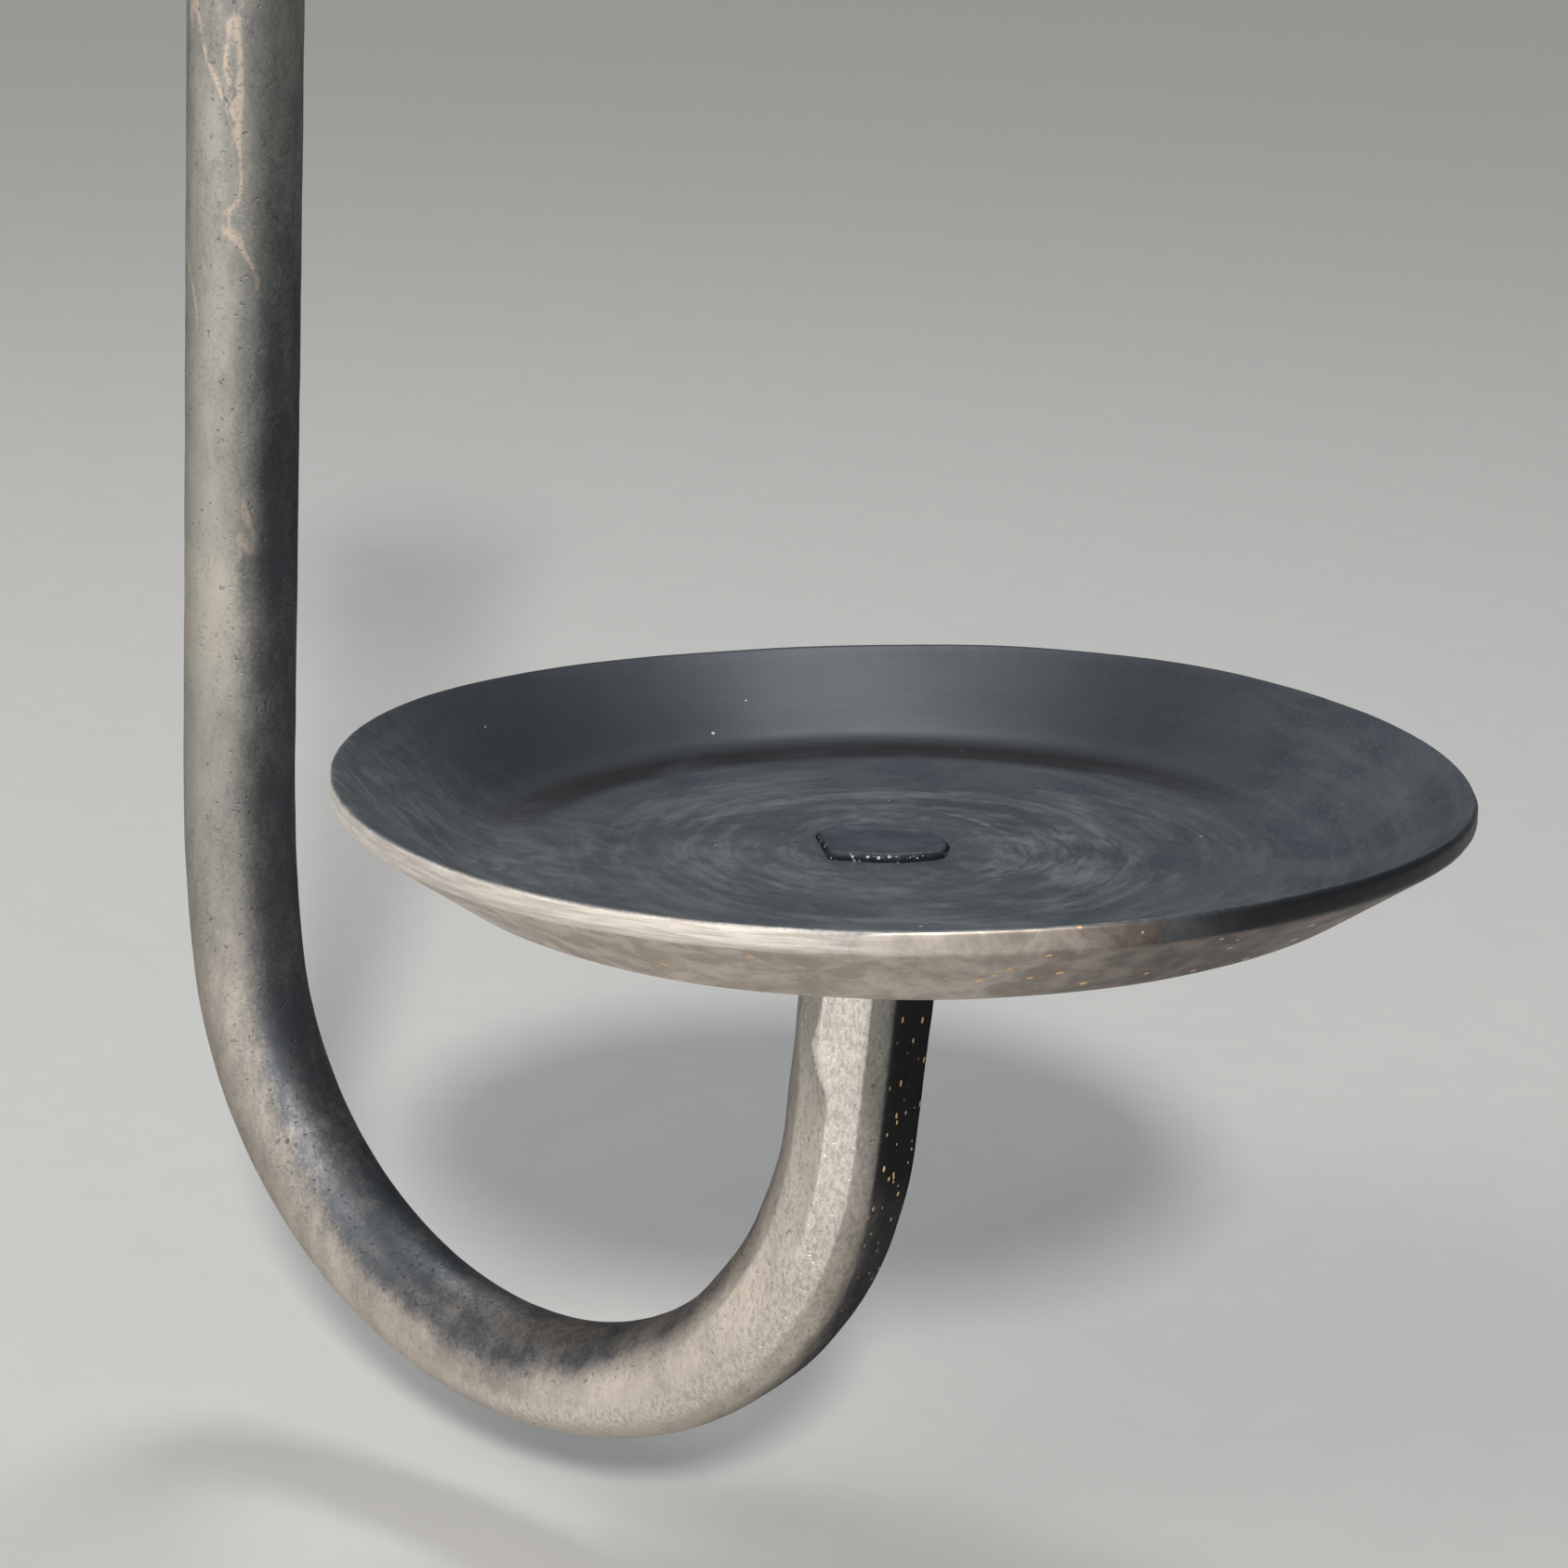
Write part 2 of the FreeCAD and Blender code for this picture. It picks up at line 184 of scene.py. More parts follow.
class Shader:
    """A node material, built one node at a time."""

    def __init__(self, name):
        self.material = bpy.data.materials.new(name)
        self.material.use_nodes = True
        self.tree = self.material.node_tree
        self.surface = self.tree.nodes["Principled BSDF"]
        self.place = self.node("ShaderNodeTexCoord").outputs["Object"]

    def node(self, kind, **settings):
        made = self.tree.nodes.new(kind)
        for key, value in settings.items():
            setattr(made, key, value)
        return made

    def feed(self, socket, value):
        if isinstance(value, bpy.types.NodeSocket):
            self.tree.links.new(value, socket)
        elif value is not None:
            socket.default_value = value

    def maths(self, operation, first, second=None, third=None):
        made = self.node("ShaderNodeMath", operation=operation)
        for socket, value in zip(made.inputs, (first, second, third)):
            self.feed(socket, value)
        return made.outputs[0]

    def times(self, *values):
        """The product of the values."""
        product = values[0]
        for value in values[1:]:
            product = self.maths("MULTIPLY", product, value)
        return product

    def nudge(self, value, noise, amount):
        """The value, moved up and down by noise about its middle."""
        return self.maths("MULTIPLY_ADD", self.maths("SUBTRACT", noise, 0.5), amount, value)

    def joined(self, *values):
        """A vector of three values."""
        made = self.node("ShaderNodeCombineXYZ")
        for socket, value in zip(made.inputs, values):
            self.feed(socket, value)
        return made.outputs[0]

    def stretched(self, vector, scale, turn=(0.0, 0.0, 0.0)):
        made = self.node("ShaderNodeMapping")
        self.feed(made.inputs["Vector"], vector)
        self.feed(made.inputs["Rotation"], turn)
        self.feed(made.inputs["Scale"], scale)
        return made.outputs[0]

    def noise(self, size, detail=3.0, rough=0.55, twist=0.0, at=None, scale=1.0 / MM):
        """Noise with lumps of about size mm, or size units of another vector with scale 1."""
        made = self.node("ShaderNodeTexNoise")
        self.feed(made.inputs["Vector"], at or self.place)
        self.feed(made.inputs["Scale"], scale / size)
        self.feed(made.inputs["Detail"], detail)
        self.feed(made.inputs["Roughness"], rough)
        self.feed(made.inputs["Distortion"], twist)
        return made.outputs["Fac"]

    def band(self, value, low, high, out_low=0.0, out_high=1.0):
        """Eases value from low..high to out_low..out_high."""
        made = self.node("ShaderNodeMapRange", interpolation_type="SMOOTHSTEP")
        for socket, number in zip(made.inputs[:5], (value, low, high, out_low, out_high)):
            self.feed(socket, number)
        return made.outputs[0]

    def mix(self, share, first, second):
        """Colour mix."""
        made = self.node("ShaderNodeMix", data_type="RGBA")
        self.feed(made.inputs["Factor"], share)
        self.feed(made.inputs[6], first)
        self.feed(made.inputs[7], second)
        return made.outputs[2]

    def blend(self, share, first, second):
        """Number mix."""
        made = self.node("ShaderNodeMix", data_type="FLOAT")
        self.feed(made.inputs["Factor"], share)
        self.feed(made.inputs[2], first)
        self.feed(made.inputs[3], second)
        return made.outputs[0]

    def height(self):
        """The place's Z, in metres."""
        made = self.node("ShaderNodeSeparateXYZ")
        self.feed(made.inputs[0], self.place)
        return made.outputs[2]

    def dots(self, spacing, rarity, widest, at=None):
        """Scattered dots, one to a cell of about spacing mm. The share of cells without one is rarity."""
        cells = self.node("ShaderNodeTexVoronoi")
        self.feed(cells.inputs["Vector"], at or self.place)
        self.feed(cells.inputs["Scale"], 1.0 / MM / spacing)
        draw = self.node("ShaderNodeSeparateColor")
        self.feed(draw.inputs[0], cells.outputs["Color"])
        reach = self.band(draw.outputs[0], rarity, 1.0, 0.0, widest)
        return self.maths("LESS_THAN", cells.outputs["Distance"], reach)

    def painted(self, name):
        """A float attribute of the mesh."""
        return self.node("ShaderNodeAttribute", attribute_name=name).outputs["Fac"]

    def bump(self, height, depth_mm, strength=1.0, under=None):
        made = self.node("ShaderNodeBump")
        self.feed(made.inputs["Strength"], strength)
        self.feed(made.inputs["Distance"], depth_mm * MM)
        self.feed(made.inputs["Height"], height)
        self.feed(made.inputs["Normal"], under)
        return made.outputs[0]

    def finish(self, colour, rough, metal, normal):
        self.feed(self.surface.inputs["Base Color"], colour)
        self.feed(self.surface.inputs["Roughness"], rough)
        self.feed(self.surface.inputs["Metallic"], metal)
        self.feed(self.surface.inputs["Normal"], normal)
        return self.material


def rgb(red, green, blue):
    return (red, green, blue, 1.0)


SCALE_BLUE = rgb(0.075, 0.082, 0.092)     # forge scale
# black scale in pits, and painted shade on the black facets
BLACK_SCALE_AND_SHADE = rgb(0.022, 0.022, 0.023)
BRUSHED_LIT_GREY = rgb(0.385, 0.375, 0.345)   # brushed and waxed steel with painted reflection of the light, up the wall
BRUSHED_LIT_TAUPE = rgb(0.50, 0.45, 0.40)     # and round the hook, with the same painted reflection
SCOURED_AND_LIT = rgb(0.76, 0.69, 0.62)           # brushed to near bare steel, with painted reflection of the light under the hook
FLAKE = rgb(0.62, 0.50, 0.41)             # where scale has flaked to the steel
RUBBED = rgb(0.54, 0.50, 0.43)
SCRATCH = rgb(0.11, 0.095, 0.085)
SILVER = rgb(0.66, 0.60, 0.545)           # steel under the hammer, with a painted highlight
BRIGHT = rgb(0.95, 0.90, 0.84)
PIT_GREY = rgb(0.42, 0.38, 0.34)
GOLD_TINT_AND_GLINT = rgb(0.85, 0.52, 0.26)              # heat tint caught in the underside's pits, and painted glints in the black facets
WAX_DARK = rgb(0.046, 0.058, 0.071)       # blue-black wax over scale
WAX_LIGHT = rgb(0.067, 0.081, 0.092)

# Heights on the bar, in metres.
HOOK_TINT = (-0.185, -0.225)              # grey steel turns to taupe between these
FLAKES_END = (-0.168, -0.156)             # no flakes below the first, all of them above the second
RUBBED_TOP = (-0.158, -0.164)
RUBBED_FOOT = (-0.180, -0.171)

HAMMER_SLANT = (0.75, 0.2, 0.4)           # direction of the hammer's marks, as rotations


def wax_colour(s, cloud):
    """Blue-black wax over scale, uneven where it was wiped."""
    return s.mix(s.band(cloud, 0.35, 0.65), WAX_DARK, WAX_LIGHT)


def flake_lines(s, pale_and_lit, along, mottle, grain):
    """Meandering lines up the wall where flakes of scale have lifted."""
    wander = s.noise(9.0, 1.6, 0.5, 0.35, at=along)
    ridge = s.maths("ABSOLUTE", s.maths("SUBTRACT", wander, 0.50))
    line = s.times(s.band(ridge, 0.017, 0.005), s.band(mottle, 0.38, 0.50))
    where = s.times(s.band(s.noise(30.0, 1.0), 0.44, 0.52), s.band(pale_and_lit, 0.3, 0.5))
    return s.times(line, where, s.band(s.height(), *FLAKES_END), s.band(grain, 0.30, 0.50))


def rubbed_patch(s, uneven):
    """A patch rubbed paler, low on the straight bar."""
    patch = s.times(s.band(s.height(), *RUBBED_TOP), s.band(s.height(), *RUBBED_FOOT))
    return s.times(patch, s.band(uneven, 0.45, 0.80))


def hammered_silver_highlight(s, strokes):
    """Steel burnished by the hammer, with a painted highlight, its slanting strokes and small pits."""
    silver = s.mix(s.band(strokes, 0.34, 0.60), SILVER, BRIGHT)
    crumbled = s.noise(0.24, 2.0, 0.6)
    return s.mix(s.band(crumbled, 0.46, 0.32, 0.0, 0.5), silver, PIT_GREY)


def golden_glints(s, facet, shade, waxed, cloud):
    """Small slanting glints in the black facets, and a few on the others."""
    slanted = s.stretched(s.place, (1.0, 2.0, 0.45), HAMMER_SLANT)
    some = s.times(facet, s.band(cloud, 0.45, 0.6, 0.0, 0.5))
    where = s.maths("MAXIMUM", shade, some)
    return s.times(s.dots(0.66, 0.40, 0.26, at=slanted), where, s.maths("SUBTRACT", 1.0, waxed))


def waxed_head(s, colour, waxed, side):
    """The head's wax, its side darkened with painted contact shade, and the bright crumbs of scale caught
    there.
    """
    cloud = s.noise(3.0, 3.0, 0.6)
    colour = s.mix(waxed, colour, wax_colour(s, cloud))
    # painted shade round the side of the head, where it meets the pan
    colour = s.mix(s.times(side, 0.9), colour, rgb(0.012, 0.013, 0.014))
    crumbs = s.times(s.dots(0.36, 0.40, 0.45), side, s.band(cloud, 0.36, 0.46))
    return s.mix(crumbs, colour, rgb(0.36, 0.40, 0.40))


def forged_bar():
    """Forge scale, wire brushed and waxed, with burnished hammer facets on the rise, and painted
    highlight, shade and reflection in its colour.
    """
    s = Shader("forged_bar")
    facet = s.painted("facet")        # 1 on the hammered stretch
    shine = s.painted("shine")        # 1 on the facet that the hammer has burnished, which carries a painted highlight
    shade = s.painted("shade")        # 1 on the facets left in black scale, darkened further with painted shade
    pale_and_lit = s.painted("pale_and_lit")          # 1 on the side that was brushed the most and painted paler as reflection of the light
    waxed = s.painted("waxed")        # 1 on the head, blacked with the pan
    side = s.painted("side")          # 1 round the side of the head

    along = s.stretched(s.place, (1.0, 1.0, 0.45))
    cloud = s.noise(9.0, 4.0, 0.6, 0.3, at=along)
    mottle = s.noise(2.4, 5.0, 0.68, 0.3, at=along)
    grain = s.noise(0.42, 3.0, 0.65)
    strokes = s.noise(0.42, 4.0, 0.68, 0.4, at=s.stretched(s.place, (1.0, 1.0, 0.40), HAMMER_SLANT))

    # brushed steel with painted reflection of the light shows through where the noise and the paler side
    # agree
    uneven = s.nudge(s.nudge(s.nudge(pale_and_lit, cloud, 0.6), mottle, 0.7), grain, 0.5)
    brushed_and_lit = s.band(uneven, -0.05, 1.0)
    round_hook = s.band(s.height(), *HOOK_TINT)
    colour = s.mix(brushed_and_lit, SCALE_BLUE, s.mix(round_hook, BRUSHED_LIT_GREY, BRUSHED_LIT_TAUPE))
    # paler still round the hook: scoured steel with painted reflection of the light
    colour = s.mix(s.times(s.band(uneven, 0.70, 1.30), round_hook), colour, SCOURED_AND_LIT)

    flaked = flake_lines(s, pale_and_lit, along, mottle, grain)
    colour = s.mix(s.times(flaked, 0.6), colour, FLAKE)
    colour = s.mix(s.times(rubbed_patch(s, uneven), 0.4), colour, RUBBED)
    dark_pit = s.band(s.noise(0.75, 3.0, 0.6), 0.37, 0.30)
    colour = s.mix(s.times(dark_pit, 0.4), colour, BLACK_SCALE_AND_SHADE)
    colour = s.mix(s.times(s.band(strokes, 0.54, 0.34), facet, 0.34), colour, SCRATCH)

    # hammered stretch: silver with a painted highlight on the burnished facet, black scale with painted
    # shade on the shaded ones
    blotched = s.nudge(s.nudge(shine, mottle, 0.5), strokes, 0.3)
    worn_and_sheen = s.times(s.band(blotched, 0.05, 0.85), s.band(shine, 0.02, 0.4))
    colour = s.mix(worn_and_sheen, colour, hammered_silver_highlight(s, strokes))
    # painted shade on the black facets
    colour = s.mix(s.times(shade, 0.93), colour, BLACK_SCALE_AND_SHADE)
    # painted golden glints in the black facets
    glint = golden_glints(s, facet, shade, waxed, cloud)
    colour = s.mix(glint, colour, GOLD_TINT_AND_GLINT)
    colour = waxed_head(s, colour, waxed, side)

    rough = s.blend(brushed_and_lit, 0.54, 0.50)
    rough = s.blend(worn_and_sheen, rough, s.band(grain, 0.3, 0.7, 0.30, 0.42))
    rough = s.blend(shade, rough, 0.36)
    rough = s.blend(flaked, rough, 0.5)
    rough = s.blend(waxed, rough, 0.48)
    metal = s.blend(glint, 0.92, 0.25)
    metal = s.blend(waxed, metal, 0.25)

    normal = s.bump(s.maths("SUBTRACT", 1.0, dark_pit), 0.06, 0.7)
    normal = s.bump(mottle, 0.08, 0.4, normal)
    normal = s.bump(strokes, 0.07, s.times(facet, 0.8), normal)
    normal = s.bump(grain, 0.05, s.band(facet, 0.0, 1.0, 0.35, 0.6), normal)
    s.surface.inputs["Specular Tint"].default_value = rgb(0.35, 0.35, 0.36)
    return s.finish(colour, rough, metal, normal)


def cloth_marks(s, reach, fine, wiped, broad):
    """Pale arcs left by the cloth, strongest about half way out from the head."""
    marks = s.band(s.maths("MULTIPLY_ADD", wiped, 0.5, s.times(broad, 0.5)), 0.44, 0.64)
    inner = s.band(reach, 6.0, 12.0, 0.3, 1.0)
    outer = s.band(reach, 38.0, 16.0, 0.28, 1.0)
    return s.times(marks, s.band(fine, 0.30, 0.65, 0.5, 1.0), inner, outer)


def smeared(s, colour, reach, turn_x, wiped, speck):
    """Dark scuffs and thin wax on the left wall, lightened partly as painted light on that side, and
    darker smears and a fine bloom all over.
    """
    scuff = s.times(s.band(wiped, 0.58, 0.66), s.band(turn_x, -0.1, -0.6), s.band(reach, 40.0, 46.0))
    colour = s.mix(s.times(scuff, 0.6), colour, rgb(0.022, 0.024, 0.028))
    smear = s.noise(2.6, 5.0, 0.66, 0.9, at=s.stretched(s.place, (1.0, 0.45, 1.0), (0.0, 0.0, 0.7)))
    # the left side lightened: thin wax with pale smears, partly painted light on the lit side
    thin_and_lit = s.times(s.band(turn_x, 0.0, -0.7), s.band(reach, 22.0, 42.0, 0.25, 1.0))
    colour = s.mix(s.times(thin_and_lit, 0.5), colour, rgb(0.105, 0.115, 0.122))
    colour = s.mix(s.times(s.band(smear, 0.43, 0.64), thin_and_lit), colour, rgb(0.150, 0.160, 0.166))
    colour = s.mix(s.times(s.band(smear, 0.44, 0.32), 0.30), colour, rgb(0.026, 0.030, 0.035))
    return s.mix(s.times(s.band(speck, 0.50, 0.68), 0.3), colour, rgb(0.13, 0.14, 0.145))


def scaly_underside(s, turn_x, scale_cloud, fleck):
    """Brown-grey scale with golden flecks, painted lighter on the -X side where the light falls and
    browner, as painted shade, away from it.
    """
    lumps = s.band(scale_cloud, 0.35, 0.66)
    pale_and_lit = s.mix(lumps, rgb(0.48, 0.415, 0.36), rgb(0.74, 0.66, 0.585))
    shaded_brown = s.mix(lumps, rgb(0.07, 0.05, 0.045), rgb(0.20, 0.155, 0.14))
    # painted light on the -X side of the underside, painted shade away from it
    return s.mix(fleck, s.mix(s.band(turn_x, -0.88, -0.38), pale_and_lit, shaded_brown), GOLD_TINT_AND_GLINT)


def waxed_pan():
    """Blackened, waxed sheet, wiped round and round, with a bare ground edge and a scaly underside."""
    s = Shader("waxed_sheet")
    reach = s.painted("reach")        # distance from the pan's centre, in mm
    turn_x = s.painted("turn_x")      # direction from the pan's centre
    turn_y = s.painted("turn_y")
    bare = s.painted("bare")          # 1 on the ground edge
    below = s.painted("below")        # 1 on the underside
    corner = s.painted("corner")      # 1 on the part of the edge that kept its black
    level = s.painted("level")        # height above the pan's hole, in mm

    def ringwise(across, sharpness):
        """Coordinates that draw noise out along circles round the head, the more so if small."""
        return s.joined(across, s.times(turn_x, sharpness), s.times(turn_y, sharpness))

    fine = s.noise(0.55, 3.0, 0.6, 0.2, at=ringwise(reach, 3.5), scale=1.0)
    wiped = s.noise(1.5, 4.0, 0.62, 0.5, at=ringwise(reach, 4.5), scale=1.0)
    broad = s.noise(6.0, 3.0, 0.55, 0.8, at=ringwise(reach, 7.0), scale=1.0)
    cloud = s.noise(11.0, 3.0, 0.55, 0.6)
    speck = s.noise(0.5, 2.0, 0.6)

    marks = cloth_marks(s, reach, fine, wiped, broad)
    colour = s.mix(marks, wax_colour(s, cloud), rgb(0.150, 0.163, 0.170))
    colour = smeared(s, colour, reach, turn_x, wiped, speck)

    # the wall, darker towards the back, and painted brown shade in the crease where it meets the floor
    # there
    at_back = s.band(s.maths("MULTIPLY_ADD", turn_x, 0.65, s.times(turn_y, 0.76)), 0.0, 0.8)
    wall = s.times(s.band(reach, 36.0, 43.0), at_back)
    colour = s.mix(s.times(wall, 0.82), colour, rgb(0.013, 0.017, 0.022))
    # painted shade in the crease
    crease_shade = s.times(s.band(reach, 33.5, 36.5), s.band(reach, 42.5, 39.0))
    crease_shade = s.times(crease_shade, at_back, s.band(cloud, 0.28, 0.55, 0.45, 1.0))
    colour = s.mix(s.times(crease_shade, 0.85), colour, rgb(0.017, 0.011, 0.012))
    colour = s.mix(s.dots(3.0, 0.80, 0.065), colour, rgb(0.42, 0.42, 0.40))     # dust

    scale_cloud = s.noise(3.5, 4.0, 0.65, 0.4)
    fleck = s.dots(1.5, 0.60, 0.26)
    underside = s.band(below, 0.45, 0.55)
    colour = s.mix(underside, colour, scaly_underside(s, turn_x, scale_cloud, fleck))

    # bare ground edge, with grinding marks running along it
    up_edge = s.maths("ADD", level, s.times(reach, 0.6))
    grinding = s.noise(0.34, 3.0, 0.6, at=ringwise(up_edge, 4.0), scale=1.0)
    steel = s.mix(s.band(grinding, 0.3, 0.7), rgb(0.60, 0.55, 0.505), rgb(0.82, 0.77, 0.715))
    edge = s.band(s.nudge(s.nudge(bare, speck, 0.35), grinding, 0.25), 0.10, 0.95)
    colour = s.mix(edge, colour, steel)
    colour = s.mix(s.times(corner, 0.95), colour, rgb(0.010, 0.011, 0.013))

    rough = s.blend(marks, 0.42, 0.60)
    rough = s.blend(wall, rough, 0.43)
    rough = s.blend(underside, rough, 0.48)
    rough = s.blend(edge, rough, 0.42)
    metal = s.blend(underside, 0.25, 0.85)
    metal = s.blend(s.times(fleck, underside), metal, 0.3)
    metal = s.blend(edge, metal, 1.0)

    normal = s.bump(fine, 0.03, 0.4)
    normal = s.bump(wiped, 0.05, 0.35, normal)
    normal = s.bump(speck, 0.03, s.blend(wall, 0.4, 0.1), normal)
    normal = s.bump(scale_cloud, 0.12, s.times(underside, 0.5), normal)
    normal = s.bump(grinding, 0.05, s.times(edge, 0.5), normal)
    dull = s.maths("MAXIMUM", corner, s.times(crease_shade, 0.8))
    s.feed(s.surface.inputs["Specular IOR Level"], s.blend(dull, 0.5, 0.2))
    return s.finish(colour, rough, metal, normal)


def black_screw():
    """Black oxide with the corners of the slot and the thread's crests worn bright."""
    s = Shader("black_screw")
    worn_and_sheen = s.painted("worn_and_sheen")
    mottle = s.noise(0.9, 3.0, 0.6)
    rubbed = s.band(s.nudge(worn_and_sheen, mottle, 0.9), 0.55, 0.8)
    colour = s.mix(s.band(mottle, 0.35, 0.65), rgb(0.022, 0.023, 0.026), rgb(0.05, 0.05, 0.052))
    colour = s.mix(rubbed, colour, rgb(0.42, 0.40, 0.375))
    rough = s.blend(rubbed, s.band(mottle, 0.3, 0.7, 0.34, 0.5), 0.36)
    normal = s.bump(mottle, 0.03, 0.5)
    return s.finish(colour, rough, 0.9, normal)


def pale_floor():
    """A plain pale studio floor with a faint plaster grain."""
    s = Shader("pale_floor")
    plaster = s.noise(9.0, 4.0, 0.6)
    colour = s.mix(plaster, rgb(0.515, 0.52, 0.505), rgb(0.55, 0.55, 0.535))
    normal = s.bump(plaster, 0.25, 0.35)
    return s.finish(colour, 0.85, 0.0, normal)


# ---- the bar ------------------------------------------------------------------------------------

AROUND = 128
ANGLES = np.arange(AROUND) * 2 * math.pi / AROUND      # from +X towards the outside of the hook

# Edges of the hammered facets, in degrees round the bar.
FACET_EDGES = np.array([20, 66, 120, 140, 168, 202, 245, 290, 335], float)
FACET_REACH = 6.6
FACET_SOFTNESS = 0.09
FACET_BEGIN = 118.0                  # headings between which the facets come in
FACET_FULL = 150.0

SQUARING_LENGTH = 6.0                # the rise's end turns square to the pan over this

# The side that was brushed the most and painted paler as reflection of the light wanders round the bar:
# headings, then degrees round it.
PALE_LIT_SIDE = [(0, 40, 90, 140, 176), (176, 142, 124, 160, 184)]


def heading_frame(heading):
    """The bar's direction at a heading in degrees, and the direction to the outside of the hook."""
    turn = math.radians(heading)
    along = np.array([0.0, -math.sin(turn), -math.cos(turn)])
    outside = np.array([0.0, math.cos(turn), -math.sin(turn)])
    return along, outside


def bar_stations():
    """Stations from the neck down, round the hook and up to the shoulder: centre, heading, rise."""
    stations = []
    for z in np.arange(NECK_BOTTOM, BEND_START_Z, -1.2):
        stations.append((np.array([0.0, -BAR_RADIUS, z]), 0.0, 0.0))
    lead_centre = np.array([0.0, -BAR_RADIUS - LEAD_RADIUS, BEND_START_Z])
    for heading in np.linspace(0.0, LEAD_TURN, 22)[:-1]:
        _, outside = heading_frame(heading)
        stations.append((lead_centre + outside * LEAD_RADIUS, heading, 0.0))
    bend_centre = np.array([0.0, -BEND_CENTRE_OUT, BEND_CENTRE_Z])
    for heading in np.linspace(LEAD_TURN, RISE_HEADING, 200)[:-1]:
        _, outside = heading_frame(heading)
        stations.append((bend_centre + outside * BEND_RADIUS, heading, 0.0))
    along, outside = heading_frame(RISE_HEADING)
    start = bend_centre + outside * BEND_RADIUS
    for rise in np.linspace(0.0, RISE_LENGTH, 50):
        stations.append((start + along * rise, RISE_HEADING, rise))
    return stations


def bright_left_edge(rise):
    """Where the burnished facet and its painted highlight end: straight up the hook, then it bulges and
    wanders by the pan.
    """
    return 168 + 15 * smooth(4.0, 8.0, rise) + 9 * math.exp(-((rise - 9.6) / 1.9) ** 2)


def facet_section(distance, heading, rise):
    """The bar's reach at each angle, and how far the facets have come in."""
    edges = FACET_EDGES.copy()
    edges[4:6] += 13 * smooth(3.0, 10.0, rise)
    ends = np.append(edges[1:], edges[0] + 360)
    walls = []
    for k, (start, end) in enumerate(zip(edges, ends)):
        blow = noise.noise(Vector((distance / 6.5, k * 7.7, 3.1)))      # uneven hammer blows
        depth = FACET_REACH * math.cos(math.radians(end - start) / 2) + 0.13 * blow
        lean = math.radians((start + end) / 2) + math.radians(2.2) * noise.noise(
            Vector((distance / 8.0, k * 5.3, 9.4))
        )
        facing = np.cos(ANGLES - lean)
        walls.append(np.where(facing > 0.2, depth / np.maximum(facing, 0.2), 60.0))
    flat = soft_min(np.array(walls), FACET_SOFTNESS)
    amount = smooth(FACET_BEGIN, FACET_FULL, heading)
    return BAR_RADIUS + (flat - BAR_RADIUS) * amount, amount


def finish_masks(heading, rise):
    """How burnished, how black and how pale the bar is at each angle round it, with painted highlight,
    painted shade and painted reflection among them.
    """
    degrees = np.degrees(ANGLES)
    left = bright_left_edge(rise)
    soft = 14 * smooth(165.0, 125.0, heading)        # lower down its edges fade out
    # painted highlight on the burnished facet
    shine = smooth(139.0 - soft, 141.5 + soft, degrees) * smooth(58.0, 122.0, heading)
    shine = shine * smooth(left + 1.5 + soft, left - 2.5 - soft, degrees)
    # painted shade on the black facets
    dark_from = 119 - 12 * smooth(172.0, 155.0, heading)
    shade = smooth(dark_from + 1.5, dark_from - 1.5, degrees) * smooth(-12.0, 8.0, degrees)
    shade = shade * (0.45 * smooth(138.0, 156.0, heading) + 0.55 * smooth(162.0, 174.0, heading))
    # the pale side: brushed patina, and painted reflection of the light on that side
    side = math.radians(np.interp(heading, *PALE_LIT_SIDE))
    pale_and_lit = smooth(-0.05, 0.95, np.cos(ANGLES - side)) * (0.70 + 0.38 * smooth(30.0, 80.0, heading))
    inner = smooth(205.0, 245.0, degrees) * smooth(335.0, 300.0, degrees)
    return shine, shade, np.maximum(pale_and_lit, 0.06 + 0.26 * smooth(55.0, 105.0, heading) * inner)


def rounded_rectangle(half_width, half_depth, corner):
    """AROUND points round a rectangle, starting at the middle of its +X side, in step with ANGLES."""
    half_side, turn, face = 7, 8, 34        # 4 * half_side + 4 * turn + 2 * face is AROUND
    corners = [
        (half_width - corner, half_depth - corner, 0),
        (corner - half_width, half_depth - corner, 90),
        (corner - half_width, corner - half_depth, 180),
        (half_width - corner, corner - half_depth, 270),
    ]
    counts = [face, 2 * half_side, face, 2 * half_side]
    points = []
    for k, (x, y, first_angle) in enumerate(corners):
        for i in range(turn):
            angle = math.radians(first_angle + 90.0 * i / (turn - 1))
            points.append((x + corner * math.cos(angle), y + corner * math.sin(angle)))
        start = np.array(points[-1])
        next_x, next_y, next_angle = corners[(k + 1) % 4]
        turned = math.radians(next_angle)
        end = np.array([next_x + corner * math.cos(turned), next_y + corner * math.sin(turned)])
        for i in range(1, counts[k] + 1):
            points.append(tuple(start + (end - start) * (i / (counts[k] + 1))))
    return np.roll(np.array(points), half_side, axis=0)


